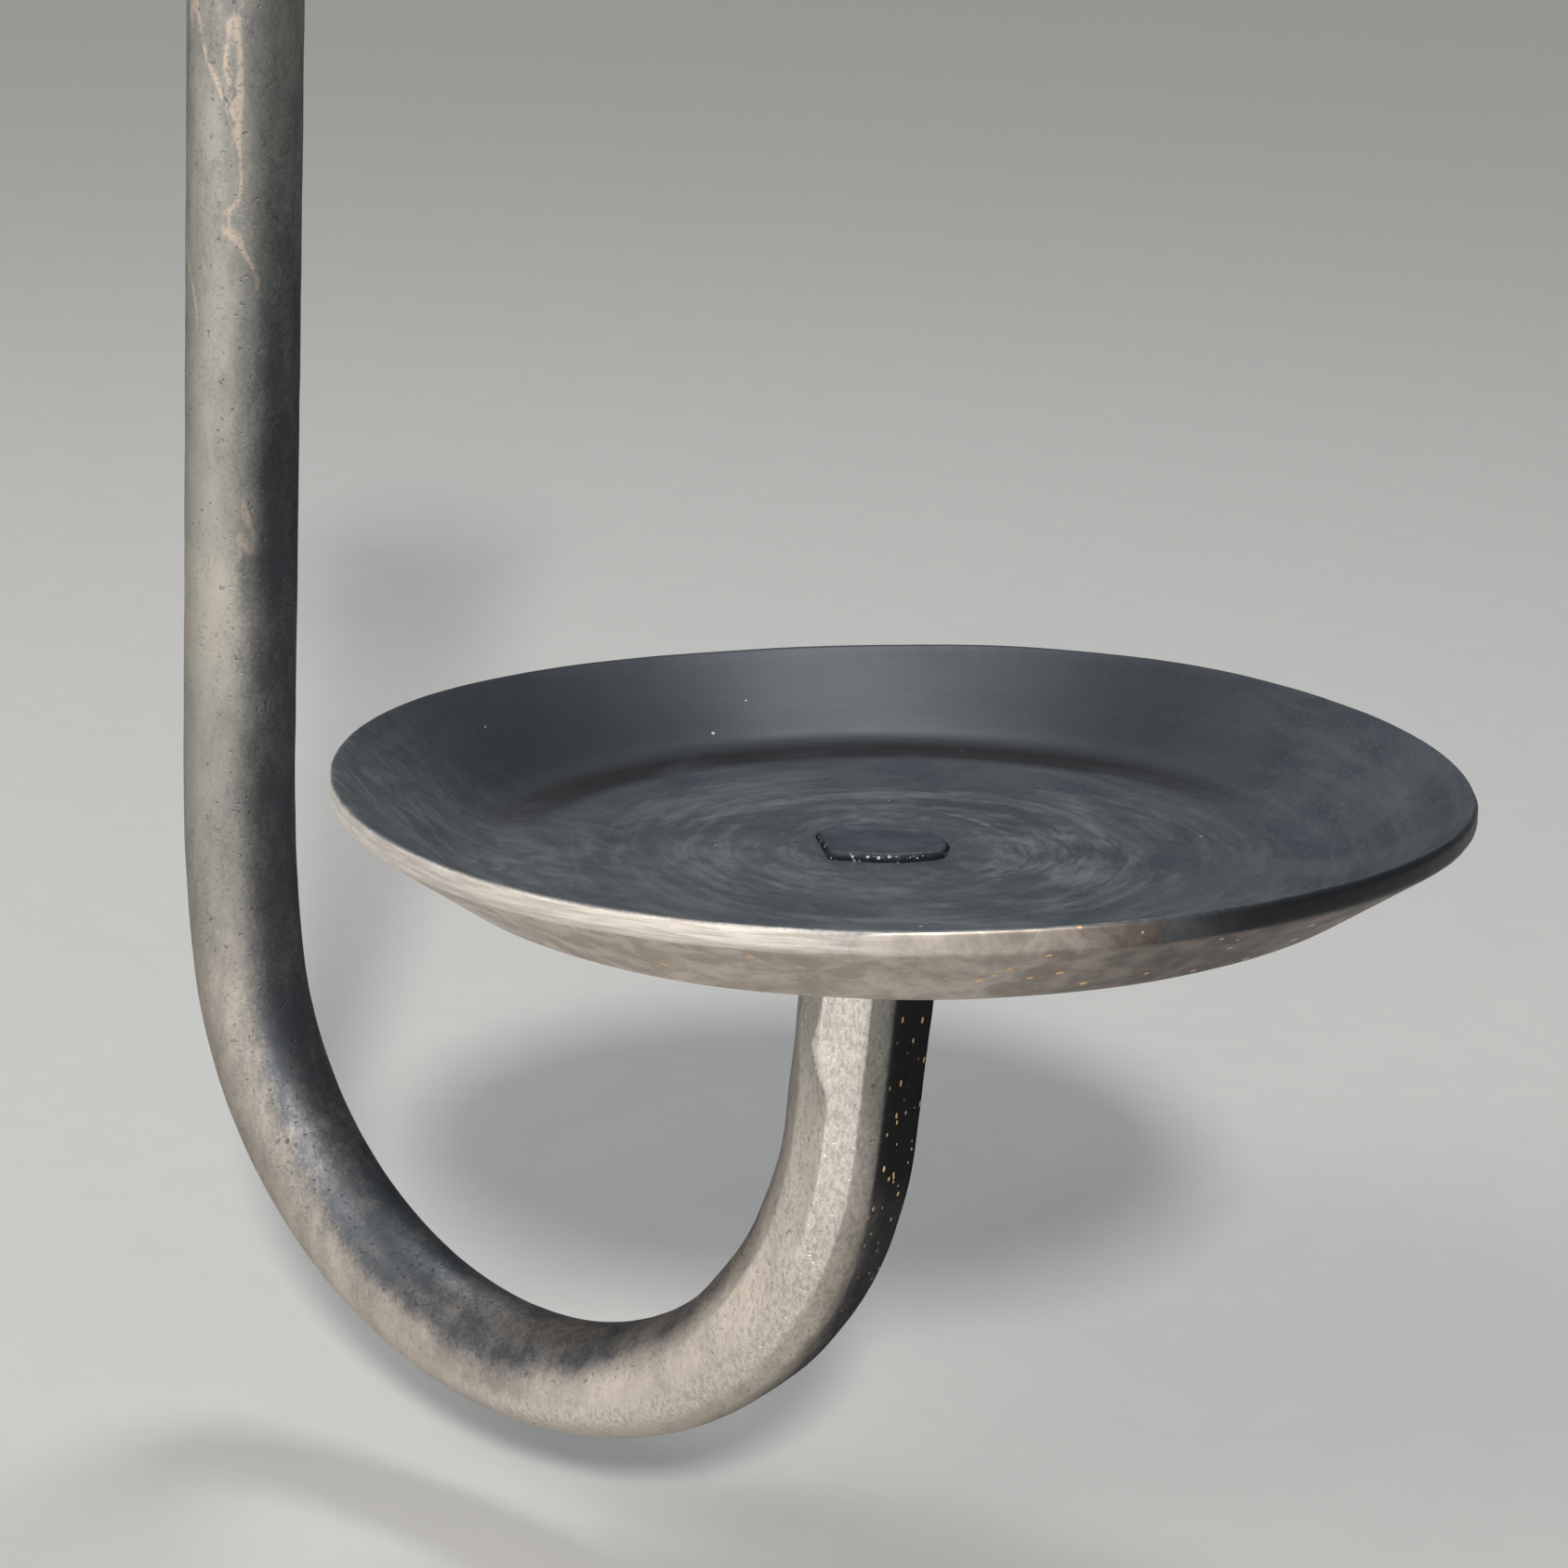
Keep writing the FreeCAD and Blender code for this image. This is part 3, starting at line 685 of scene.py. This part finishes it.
def paddle_rings():
    """Rings from the top of the flattened end down to the bottom of the neck."""
    half_width = PADDLE_WIDTH / 2
    half_depth = PADDLE_THICKNESS / 2
    section = rounded_rectangle(half_width, half_depth, PADDLE_EDGE)
    rings = []
    for turn in np.radians(np.linspace(90.0, 0.0, 19)):
        x = section[:, 0] * math.cos(turn)
        z = PADDLE_SHOULDER + np.abs(section[:, 0]) * math.sin(turn)
        rings.append(np.column_stack([x, section[:, 1] - half_depth, z]))
    for z in np.linspace(PADDLE_SHOULDER, PADDLE_BOTTOM, 44)[1:]:
        rings.append(np.column_stack([section[:, 0], section[:, 1] - half_depth, np.full(AROUND, z)]))
    circle = np.column_stack([np.cos(ANGLES), np.sin(ANGLES)]) * BAR_RADIUS
    for share in np.linspace(1.0, 0.0, 30)[1:-1]:
        eased = share * share * (3 - 2 * share)
        depth = BAR_RADIUS + (half_depth - BAR_RADIUS) * eased
        width = BAR_RADIUS + (half_width - BAR_RADIUS) * eased
        corner = min(BAR_RADIUS * 0.9 + (PADDLE_EDGE - BAR_RADIUS * 0.9) * eased, depth * 0.9)
        shape = rounded_rectangle(width, depth, corner)
        squareness = smooth(0.0, 0.35, share)
        shape = circle + (shape - circle) * squareness
        back_shift = shape[:, 1].max()
        z = NECK_BOTTOM + NECK_LENGTH * share
        rings.append(np.column_stack([shape[:, 0], shape[:, 1] - back_shift, np.full(AROUND, z)]))
    return rings


def hammer_dents(points):
    """Shallow dents over the front of the flattened end and its neck."""
    random.seed(11)
    moved = points.copy()
    front = smooth(-0.8, -1.8, points[:, 1]) * smooth(NECK_BOTTOM, NECK_BOTTOM + 14, points[:, 2])
    for _ in range(90):
        x = random.uniform(-PADDLE_WIDTH / 2, PADDLE_WIDTH / 2)
        z = random.uniform(NECK_BOTTOM + 4, PADDLE_TOP)
        radius = random.uniform(3.0, 5.5)
        depth = random.uniform(0.10, 0.24)
        away = ((points[:, 0] - x) ** 2 + (points[:, 2] - z) ** 2) / radius ** 2
        moved[:, 1] += front * depth * np.clip(1 - away, 0, None) ** 1.5
    return moved


def pan_frame():
    """Origin and the side, back and up directions of the pan, at its hole."""
    side_tilt, out_tilt = math.radians(PAN_TILT_SIDE), math.radians(-PAN_TILT_OUT)
    turn = Matrix.Rotation(side_tilt, 3, "Y") @ Matrix.Rotation(out_tilt, 3, "X")
    along, outside = heading_frame(RISE_HEADING)
    bend_centre = np.array([0.0, -BEND_CENTRE_OUT, BEND_CENTRE_Z])
    return bend_centre + outside * BEND_RADIUS + along * RISE_LENGTH, np.array(turn)


def in_pan_frame(points):
    """Points about the pan's hole, floor down, moved to where the pan sits on the rise."""
    origin, turn = pan_frame()
    return np.asarray(points) @ turn.T + origin


def head_reach(angles):
    """Reach of the hammered head's base at angles in radians from +X towards +Y."""
    corners = [
        (radius * math.cos(math.radians(turn)), radius * math.sin(math.radians(turn)))
        for radius, turn in HEAD_BASE
    ]
    walls = []
    for (x1, y1), (x2, y2) in zip(corners, corners[1:] + corners[:1]):
        facing = math.atan2(x1 - x2, y2 - y1)
        depth = x1 * math.cos(facing) + y1 * math.sin(facing)
        cosine = np.cos(angles - facing)
        walls.append(np.where(cosine > 0.15, depth / np.maximum(cosine, 0.15), 60.0))
    return soft_min(np.array(walls), HEAD_SOFTNESS)


def head_rings():
    """From the shoulder through the pan and over the hammered head, and how much each ring is side."""
    angles = -ANGLES
    reach = head_reach(angles)
    circle = [Vector((math.cos(a), math.sin(a), 0.6)) for a in angles]
    reach = reach + 0.16 * np.array([noise.noise(point * 3) for point in circle])
    reach = reach + 0.14 * np.array([noise.noise(point * 9) for point in circle])

    def ring(radius, height):
        return np.column_stack([radius * np.cos(angles), radius * np.sin(angles), height + 0 * angles])

    rings = [
        ring(TENON_RADIUS, 0.0),
        ring(TENON_RADIUS, SHEET - 0.4),
        ring(reach * 0.96, SHEET - 0.3),
    ]
    side_steps = [(1.0, 0.05), (1.01, 0.25), (1.0, 0.5), (0.985, 0.70), (0.965, 0.84), (0.94, 0.92)]
    for size, share in side_steps:
        rings.append(ring(reach * size, SHEET + HEAD_PROUD * share))
    sides = [0, 0, 1, 1, 1, 1, 0.7, 0.3, 0]
    for size in np.linspace(0.91, 0.02, 24):
        radius = reach * size
        x, y = radius * np.cos(angles), radius * np.sin(angles)
        # flats left by three blows, meeting in low ridges
        flats = [
            0.03 + 0.030 * (x + 1.0),
            0.05 - 0.050 * (x - 0.4) + 0.03 * y,
            0.07 - 0.055 * (y - 0.6),
        ]
        rough = np.array([noise.noise(Vector((a / 1.6, b / 1.6, 5.0))) for a, b in zip(x, y)])
        height = SHEET + HEAD_PROUD - 0.12 + np.min(flats, axis=0) + 0.06 * rough
        rounding = smooth(0.95, 0.74, size)
        height = (SHEET + HEAD_PROUD * 0.94) * (1 - rounding) + height * rounding
        rings.append(np.column_stack([x, y, height]))
    sides += [0] * (len(rings) - len(sides))
    return [in_pan_frame(r) for r in rings], sides


def arm_mesh(material):
    """The whole forged bar: flattened top, neck, bar, hook, hammered rise, tenon and head."""
    rings = paddle_rings()
    none, full = np.zeros(AROUND), np.ones(AROUND)
    paint = [(none, none, none, 0.5 * full, none, none) for _ in rings]    # masks, named below

    origin, turn = pan_frame()
    pan_up = turn @ np.array([0.0, 0.0, 1.0])
    distance = 0.0
    previous = None
    bar = []
    for centre, heading, rise in bar_stations():
        if previous is not None:
            distance += float(np.linalg.norm(centre - previous))
        previous = centre
        along, outside = heading_frame(heading)
        reach, amount = facet_section(distance, heading, rise)
        spokes = np.cos(ANGLES)[:, None] * np.array([1.0, 0, 0]) + np.sin(ANGLES)[:, None] * outside
        points = centre + spokes * reach[:, None]
        if heading == RISE_HEADING:
            # the top of the rise turns square to the pan
            gap = -((points - origin) @ pan_up) / float(along @ pan_up)
            left_to_go = RISE_LENGTH - rise
            slant = (gap - left_to_go) * smooth(SQUARING_LENGTH, 0.0, left_to_go)
            points = points + along * slant[:, None]
        bar.append(points)
        shine, shade, pale_and_lit = finish_masks(heading, rise)
        if heading == 0:
            # towards the top the pale side, brushing and painted reflection, goes all the way round
            pale_and_lit = pale_and_lit + (0.6 - pale_and_lit) * 0.9 * smooth(NECK_BOTTOM - 115, NECK_BOTTOM - 40, centre[2])
        paint.append((amount * full, shine, shade, pale_and_lit, none, none))
    points = np.concatenate(bar)
    swell = 0.045 * ripple(points, 7.0, 1) + 0.02 * ripple(points, 2.0, 2)
    for k in range(len(bar)):
        part = swell[k * AROUND:(k + 1) * AROUND]
        centre = bar[k].mean(0)
        outward = bar[k] - centre
        outward /= np.linalg.norm(outward, axis=1)[:, None]
        bar[k] = bar[k] + outward * part[:, None]
    rings += bar
    ends, sides = head_rings()
    paint += [(none, none, none, none, full, full * is_side) for is_side in sides]
    rings += ends

    points = hammer_dents(np.concatenate(rings))
    faces = ring_faces(len(rings), AROUND)
    last = (len(rings) - 1) * AROUND
    faces.append(tuple(range(last, last + AROUND)))
    names = ("facet", "shine", "shade", "pale_and_lit", "waxed", "side")
    masks = {name: np.concatenate(parts) for name, parts in zip(names, zip(*paint))}
    piece = add_mesh("forged_arm", points, faces, [material], masks, flip=True)
    zip_top(piece.data)
    cut(piece, [hole_cutter(z) for z in (SCREW_SPACING / 2, -SCREW_SPACING / 2)])
    return piece


def zip_top(mesh):
    """Joins the two halves of the first ring, which lie on each other at the top of the paddle."""
    work = bmesh.new()
    work.from_mesh(mesh)
    bmesh.ops.remove_doubles(work, verts=work.verts[:], dist=0.002 * MM)
    bmesh.ops.dissolve_degenerate(work, edges=work.edges[:], dist=0.001 * MM)
    bmesh.ops.recalc_face_normals(work, faces=work.faces[:])
    work.to_mesh(mesh)
    work.free()
    mesh.update()


def hole_cutter(z):
    """A drill with a light countersink at each face of the flattened end."""
    steps = 48
    profile = [
        (SCREW_HOLE_RADIUS + 1.4, -PADDLE_THICKNESS - 1.0),
        (SCREW_HOLE_RADIUS + 0.4, -PADDLE_THICKNESS),
        (SCREW_HOLE_RADIUS, -PADDLE_THICKNESS + 0.4),
        (SCREW_HOLE_RADIUS, -0.3),
        (SCREW_HOLE_RADIUS + 0.3, 0.0),
        (SCREW_HOLE_RADIUS + 1.3, 1.0),
    ]
    turns = np.arange(steps) * 2 * math.pi / steps
    points = []
    for radius, y in profile:
        for turn in turns:
            points.append((radius * math.cos(turn), y, z + radius * math.sin(turn)))
    faces = ring_faces(len(profile), steps)
    faces.append(tuple(range(steps - 1, -1, -1)))
    last = (len(profile) - 1) * steps
    faces.append(tuple(range(last, last + steps)))
    return add_mesh("hole_cutter", points, faces, [], flip=True)


# ---- the drip pan -------------------------------------------------------------------------------

PAN_AROUND = 600
BLACK_EDGE_MIDDLE = 308.0      # the stretch of edge that kept its black, in degrees round the pan
BLACK_EDGE_HALF = 65.0
RIM_ROUND = 0.75               # corners of the rim
# How the rim departs from a flat circle: order, size in mm, lag in radians.
RIM_OUT_OF_ROUND = [(2, 0.48, 3.01), (3, 0.31, -1.15)]
RIM_WAVES = [(2, 0.16, 1.75), (3, 0.36, 0.28), (4, 0.11, 0.45)]


def pan_profile():
    """The pan's closed section as rows of reach, height, bare-edge share and underside share."""
    slope = math.radians(WALL_ANGLE)
    knee_reach = KNEE_RADIUS * math.sin(slope)
    knee_rise = KNEE_RADIUS * (1 - math.cos(slope))
    floor_end = RIM_RADIUS - (PAN_DEPTH - knee_rise) / math.tan(slope) - knee_reach
    along = np.array([math.cos(slope), math.sin(slope)])
    down = np.array([0.0, -1.0])
    rim_top = np.array([RIM_RADIUS, SHEET + PAN_DEPTH])
    edge_height = SHEET / math.cos(slope)
    rim_lower = rim_top + down * edge_height
    hole = TENON_RADIUS + TENON_CLEARANCE

    def knee(offset, share):
        radius = KNEE_RADIUS + offset
        out, down = radius * math.sin(slope * share), radius * math.cos(slope * share)
        return np.array([floor_end + out, SHEET + KNEE_RADIUS - down])

    def between(first, last, shares, bare, below):
        return [(*(first + (last - first) * share), bare, below) for share in shares]

    rows = between(np.array([hole, SHEET]), knee(0, 0), np.linspace(0, 1, 40)[:-1], 0, 0)
    rows += [(*knee(0, share), 0, 0) for share in np.linspace(0, 1, 12)[:-1]]
    # up the wall, over the rounded top corner, down the ground edge and round its lower corner
    top_start = rim_top - along * RIM_ROUND
    rows += between(knee(0, 1), top_start, np.linspace(0, 1, 12), 0, 0)
    corner = rim_top + down * RIM_ROUND * 0.9
    for share, bare in ((0.2, 0.0), (0.4, 0.12), (0.6, 0.35), (0.8, 0.65), (1.0, 0.9)):
        bend = (1 - share) ** 2 * top_start + 2 * share * (1 - share) * rim_top + share ** 2 * corner
        rows.append((*bend, bare, 0))
    lower_corner = rim_lower - down * RIM_ROUND * 0.35
    rows += between(corner, lower_corner, (0.25, 0.5, 0.75, 1.0), 1, 0)
    lower_start = rim_lower - along * RIM_ROUND * 0.5
    rows.append((*(0.5 * rim_lower + 0.25 * lower_corner + 0.25 * lower_start), 0.9, 0))
    rows.append((*lower_start, 0, 1))
    rows += between(lower_start, knee(SHEET, 1), np.linspace(0, 1, 12)[1:-1], 0, 1)
    rows += [(*knee(SHEET, share), 0, 1) for share in np.linspace(1, 0, 12)]
    rows += between(knee(SHEET, 0), np.array([hole, 0.0]), np.linspace(0, 1, 22)[1:], 0, 1)
    return np.array(rows)


def pan_mesh(material):
    """The dished pan: not quite round, its rim wavy from the hammer, its edge ground by hand."""
    rows = pan_profile()
    turns = np.arange(PAN_AROUND) * 2 * math.pi / PAN_AROUND
    out_of_round = sum(size * np.cos(order * turns - lag) for order, size, lag in RIM_OUT_OF_ROUND)
    wave = sum(size * np.cos(order * turns - lag) for order, size, lag in RIM_WAVES)
    circle = [Vector((math.cos(t), math.sin(t), 0)) for t in turns]
    nicks = np.array([noise.noise(c * 9 + Vector((2, 5, 1))) for c in circle])
    nicks_fine = np.array([noise.noise(c * 34 + Vector((7, 1, 3))) for c in circle])

    # the grinder bared the edge all round but for one stretch, which has kept its black
    from_black = np.abs((np.degrees(turns) - BLACK_EDGE_MIDDLE + 180) % 360 - 180)
    black = smooth(BLACK_EDGE_HALF + 14, BLACK_EDGE_HALF - 8, from_black)
    dull = smooth(BLACK_EDGE_HALF + 42, BLACK_EDGE_HALF + 18, from_black)
    ground = (1 - black) * (1 - 0.74 * dull)

    rings, bare, below, reach_paint, level, corner = [], [], [], [], [], []
    for reach, height, bare_share, below_share in rows:
        outer = (reach / RIM_RADIUS) ** 3
        nicked = (0.08 * nicks + 0.03 * nicks_fine) * smooth(50, 53, reach)
        # the black stretch of the edge is left rounder
        edge_share = smooth(RIM_RADIUS - 1.0, RIM_RADIUS, reach) * (1 - 2 * abs(bare_share - 0.5))
        radius = reach + out_of_round * outer + nicked - 0.35 * black * edge_share
        off_hole = smooth(4.2, 12.0, reach)
        x = radius * np.cos(turns) + PAN_OFFSET[0] * off_hole
        y = radius * np.sin(turns) + PAN_OFFSET[1] * off_hole
        rings.append(np.column_stack([x, y, height + wave * outer]))
        bare.append(bare_share * ground)
        corner.append(min(1, 1.3 * bare_share) * black)
        below.append(np.maximum(below_share, min(1, 1.2 * bare_share) * dull * (1 - black)))
        reach_paint.append(np.full(PAN_AROUND, reach))
        level.append(np.full(PAN_AROUND, height))
    points = np.concatenate(rings)
    off_head = smooth(9, 16, np.linalg.norm(points[:, :2], axis=1))
    points[:, 2] += 0.07 * ripple(points * [1, 1, 0], 13.0, 4) * off_head
    paint = {
        "reach": np.concatenate(reach_paint),
        "turn_x": np.tile(np.cos(turns), len(rows)),
        "turn_y": np.tile(np.sin(turns), len(rows)),
        "bare": np.concatenate(bare),
        "below": np.concatenate(below),
        "corner": np.concatenate(corner),
        "level": np.concatenate(level),
    }
    faces = ring_faces(len(rows), PAN_AROUND)
    base = (len(rows) - 1) * PAN_AROUND
    for i in range(PAN_AROUND):
        j = (i + 1) % PAN_AROUND
        faces.append((base + i, base + j, j, i))
    return add_mesh("dished_pan", in_pan_frame(points), faces, [material], paint, flip=True)


# ---- the wall screws ----------------------------------------------------------------------------

SCREW_AROUND = 48


def screw_mesh(name, height, slot_turn, material):
    """A slotted round-head wood screw with its thread, driven along +Y."""
    turns = np.arange(SCREW_AROUND) * 2 * math.pi / SCREW_AROUND
    front = -PADDLE_THICKNESS
    crown = front - SCREW_HEAD_HEIGHT
    dome_height = SCREW_HEAD_HEIGHT - SCREW_HEAD_RIM
    dome_radius = (SCREW_HEAD_RADIUS ** 2 + dome_height ** 2) / (2 * dome_height)
    full_turn = math.asin(SCREW_HEAD_RADIUS / dome_radius)

    def ring(reach, y):
        return np.column_stack([reach * np.cos(turns), y + 0 * turns, reach * np.sin(turns)])

    rows = []           # reach, place along Y, worn share
    for share in np.linspace(0.02, 1.0, 12):
        turn = full_turn * share
        rows.append((dome_radius * math.sin(turn), crown + dome_radius * (1 - math.cos(turn)), 0.35))
    rows += [
        (SCREW_HEAD_RADIUS, front - SCREW_HEAD_RIM + 0.15, 0.5),
        (SCREW_HEAD_RADIUS, front - 0.12, 0.2),
        (SCREW_HEAD_RADIUS - 0.12, front, 0.1),
        (SCREW_NECK_RADIUS + 0.2, front, 0.0),
        (SCREW_NECK_RADIUS, front + 0.2, 0.0),
        (SCREW_NECK_RADIUS, -0.4, 0.0),
    ]
    rings, worn_and_sheen = [], []
    for reach, y, share in rows:
        rings.append(ring(reach, y))
        worn_and_sheen.append(np.full(SCREW_AROUND, share))
    end = SCREW_THREAD_LENGTH + SCREW_POINT_LENGTH
    for y in np.linspace(0.0, end, 145):
        phase = (y / SCREW_THREAD_PITCH - turns / (2 * math.pi)) % 1.0
        crest = np.clip(1 - np.abs(phase - 0.5) / 0.30, 0, 1)
        taper = 1 - 0.97 * smooth(SCREW_THREAD_LENGTH - 1, end, y) ** 0.9
        start = smooth(0.0, 1.6, y)
        root = SCREW_THREAD_ROOT * taper
        reach = root + (SCREW_THREAD_RADIUS - SCREW_THREAD_ROOT) * crest * start * (0.35 + 0.65 * taper)
        reach = np.minimum(reach, SCREW_THREAD_RADIUS)
        rings.append(ring(reach, y))
        worn_and_sheen.append(0.75 * crest)
    points = np.concatenate(rings)
    points[:, 2] += height
    faces = ring_faces(len(rings), SCREW_AROUND)
    faces.append(tuple(range(SCREW_AROUND - 1, -1, -1)))
    last = (len(rings) - 1) * SCREW_AROUND
    faces.append(tuple(range(last, last + SCREW_AROUND)))
    piece = add_mesh(name, points, faces, [material], {"worn_and_sheen": np.concatenate(worn_and_sheen)}, flip=True)
    cut(piece, [slot_cutter(height, slot_turn, crown)])
    return piece


def slot_cutter(height, slot_turn, crown):
    """A blade the width of the slot, its floor slightly hollow."""
    half_width, half_length = SCREW_SLOT_WIDTH / 2, SCREW_HEAD_RADIUS + 1.0
    steps = 12
    points = []
    for k in range(steps + 1):
        place = -half_length + 2 * half_length * k / steps
        floor = crown + SCREW_SLOT_DEPTH - 0.10 * (place / half_length) ** 2
        points.append((-half_width, crown - 1, place))
        points.append((half_width, crown - 1, place))
        points.append((half_width, floor, place))
        points.append((-half_width, floor, place))
    faces = ring_faces(steps + 1, 4)
    faces.append((3, 2, 1, 0))
    last = steps * 4
    faces.append((last, last + 1, last + 2, last + 3))
    turn = np.array(Matrix.Rotation(math.radians(slot_turn), 3, "Y"))
    points = np.array(points) @ turn.T
    points[:, 2] += height
    return add_mesh("slot_cutter", points, faces, [], flip=False)


# ---- the pieces ---------------------------------------------------------------------------------

bar_material = forged_bar()
pan_material = waxed_pan()
screw_material = black_screw()

arm = arm_mesh(bar_material)
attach(arm, "root")
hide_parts("bracket_arm")

pan = pan_mesh(pan_material)
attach(pan, "root")
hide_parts("drip_pan")

for which, height in (("upper", SCREW_SPACING / 2), ("lower", -SCREW_SPACING / 2)):
    screw = screw_mesh("slotted_screw_" + which, height, SCREW_SLOT_TURNS[which], screw_material)
    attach(screw, "root")
    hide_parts("wall_screw_" + which)

# ---- floor, light and camera --------------------------------------------------------------------

FLOOR_Z = -0.262
CAMERA_AT = Vector((-0.28432, -0.29946, -0.06249))
CAMERA_AZIMUTH = -52.41
CAMERA_ELEVATION = 16.936
CAMERA_ROLL = 2.909
CAMERA_LENS = 89.52
SENSOR = 36.0


def backwards(azimuth, elevation):
    """The direction from the object to something at that azimuth and elevation."""
    a, e = math.radians(azimuth), math.radians(elevation)
    return Vector((math.sin(a) * math.cos(e), -math.cos(a) * math.cos(e), math.sin(e)))


def add_floor():
    size = 8.0
    corners = [(-size, -size, 0), (size, -size, 0), (size, size, 0), (-size, size, 0)]
    mesh = bpy.data.meshes.new("floor")
    mesh.from_pydata(corners, [], [(0, 1, 2, 3)])
    mesh.materials.append(pale_floor())
    floor = bpy.data.objects.new("floor", mesh)
    floor.location.z = FLOOR_Z
    bpy.context.scene.collection.objects.link(floor)


def add_softbox(name, target, azimuth, elevation, distance, width, height, power, colour):
    """A rectangular light aimed at target."""
    light = bpy.data.lights.new(name, "AREA")
    light.shape = "RECTANGLE"
    light.size, light.size_y = width, height
    light.energy = power
    light.color = colour
    lamp = bpy.data.objects.new(name, light)
    back = backwards(azimuth, elevation)
    lamp.location = Vector(target) + back * distance
    lamp.rotation_mode = "QUATERNION"
    lamp.rotation_quaternion = back.to_track_quat("Z", "Y")
    bpy.context.scene.collection.objects.link(lamp)


def add_sun(azimuth, elevation, strength, spread, colour):
    light = bpy.data.lights.new("key_sun", "SUN")
    light.energy = strength
    light.angle = math.radians(spread)
    light.color = colour
    lamp = bpy.data.objects.new("key_sun", light)
    lamp.rotation_mode = "QUATERNION"
    lamp.rotation_quaternion = backwards(azimuth, elevation).to_track_quat("Z", "Y")
    bpy.context.scene.collection.objects.link(lamp)


def add_world(colour, strength):
    world = bpy.data.worlds.new("studio")
    world.use_nodes = True
    background = world.node_tree.nodes["Background"]
    background.inputs["Color"].default_value = colour
    background.inputs["Strength"].default_value = strength
    bpy.context.scene.world = world


def add_camera():
    data = bpy.data.cameras.new("camera")
    data.lens = CAMERA_LENS
    data.sensor_width = SENSOR
    data.dof.use_dof = False
    data.clip_start, data.clip_end = 0.01, 50.0
    camera = bpy.data.objects.new("camera", data)
    back = backwards(CAMERA_AZIMUTH, CAMERA_ELEVATION)
    azimuth = math.radians(CAMERA_AZIMUTH)
    level = Vector((math.cos(azimuth), math.sin(azimuth), 0))
    upright = back.cross(level)
    roll = math.radians(CAMERA_ROLL)
    right = level * math.cos(roll) + upright * math.sin(roll)
    up = upright * math.cos(roll) - level * math.sin(roll)
    turn = Matrix((right, up, back)).transposed().to_4x4()
    camera.matrix_world = Matrix.Translation(CAMERA_AT) @ turn
    bpy.context.scene.collection.objects.link(camera)
    bpy.context.scene.camera = camera


origin, _ = pan_frame()
pan_centre = Vector(origin) * MM

add_floor()
add_world((0.90, 0.94, 1.0, 1.0), 0.13)
add_sun(-50.0, 34.0, 2.5, 6.0, (1.0, 0.975, 0.94))
add_softbox("left_softbox", pan_centre, -100.0, 1.0, 1.0, 1.15, 0.46, 4.2, (1.0, 0.955, 0.90))
add_softbox("wall_bounce", pan_centre, -152.0, 12.0, 0.8, 0.60, 0.40, 0.9, (1.0, 0.96, 0.92))
add_softbox("high_softbox", pan_centre, -88.0, 42.0, 0.9, 0.40, 0.30, 2.5, (1.0, 0.96, 0.92))
add_softbox("top_softbox", pan_centre, 128.0, 72.0, 0.8, 0.17, 0.17, 2.3, (0.92, 0.96, 1.0))
add_camera()
bpy.context.scene.view_settings.view_transform = "Standard"
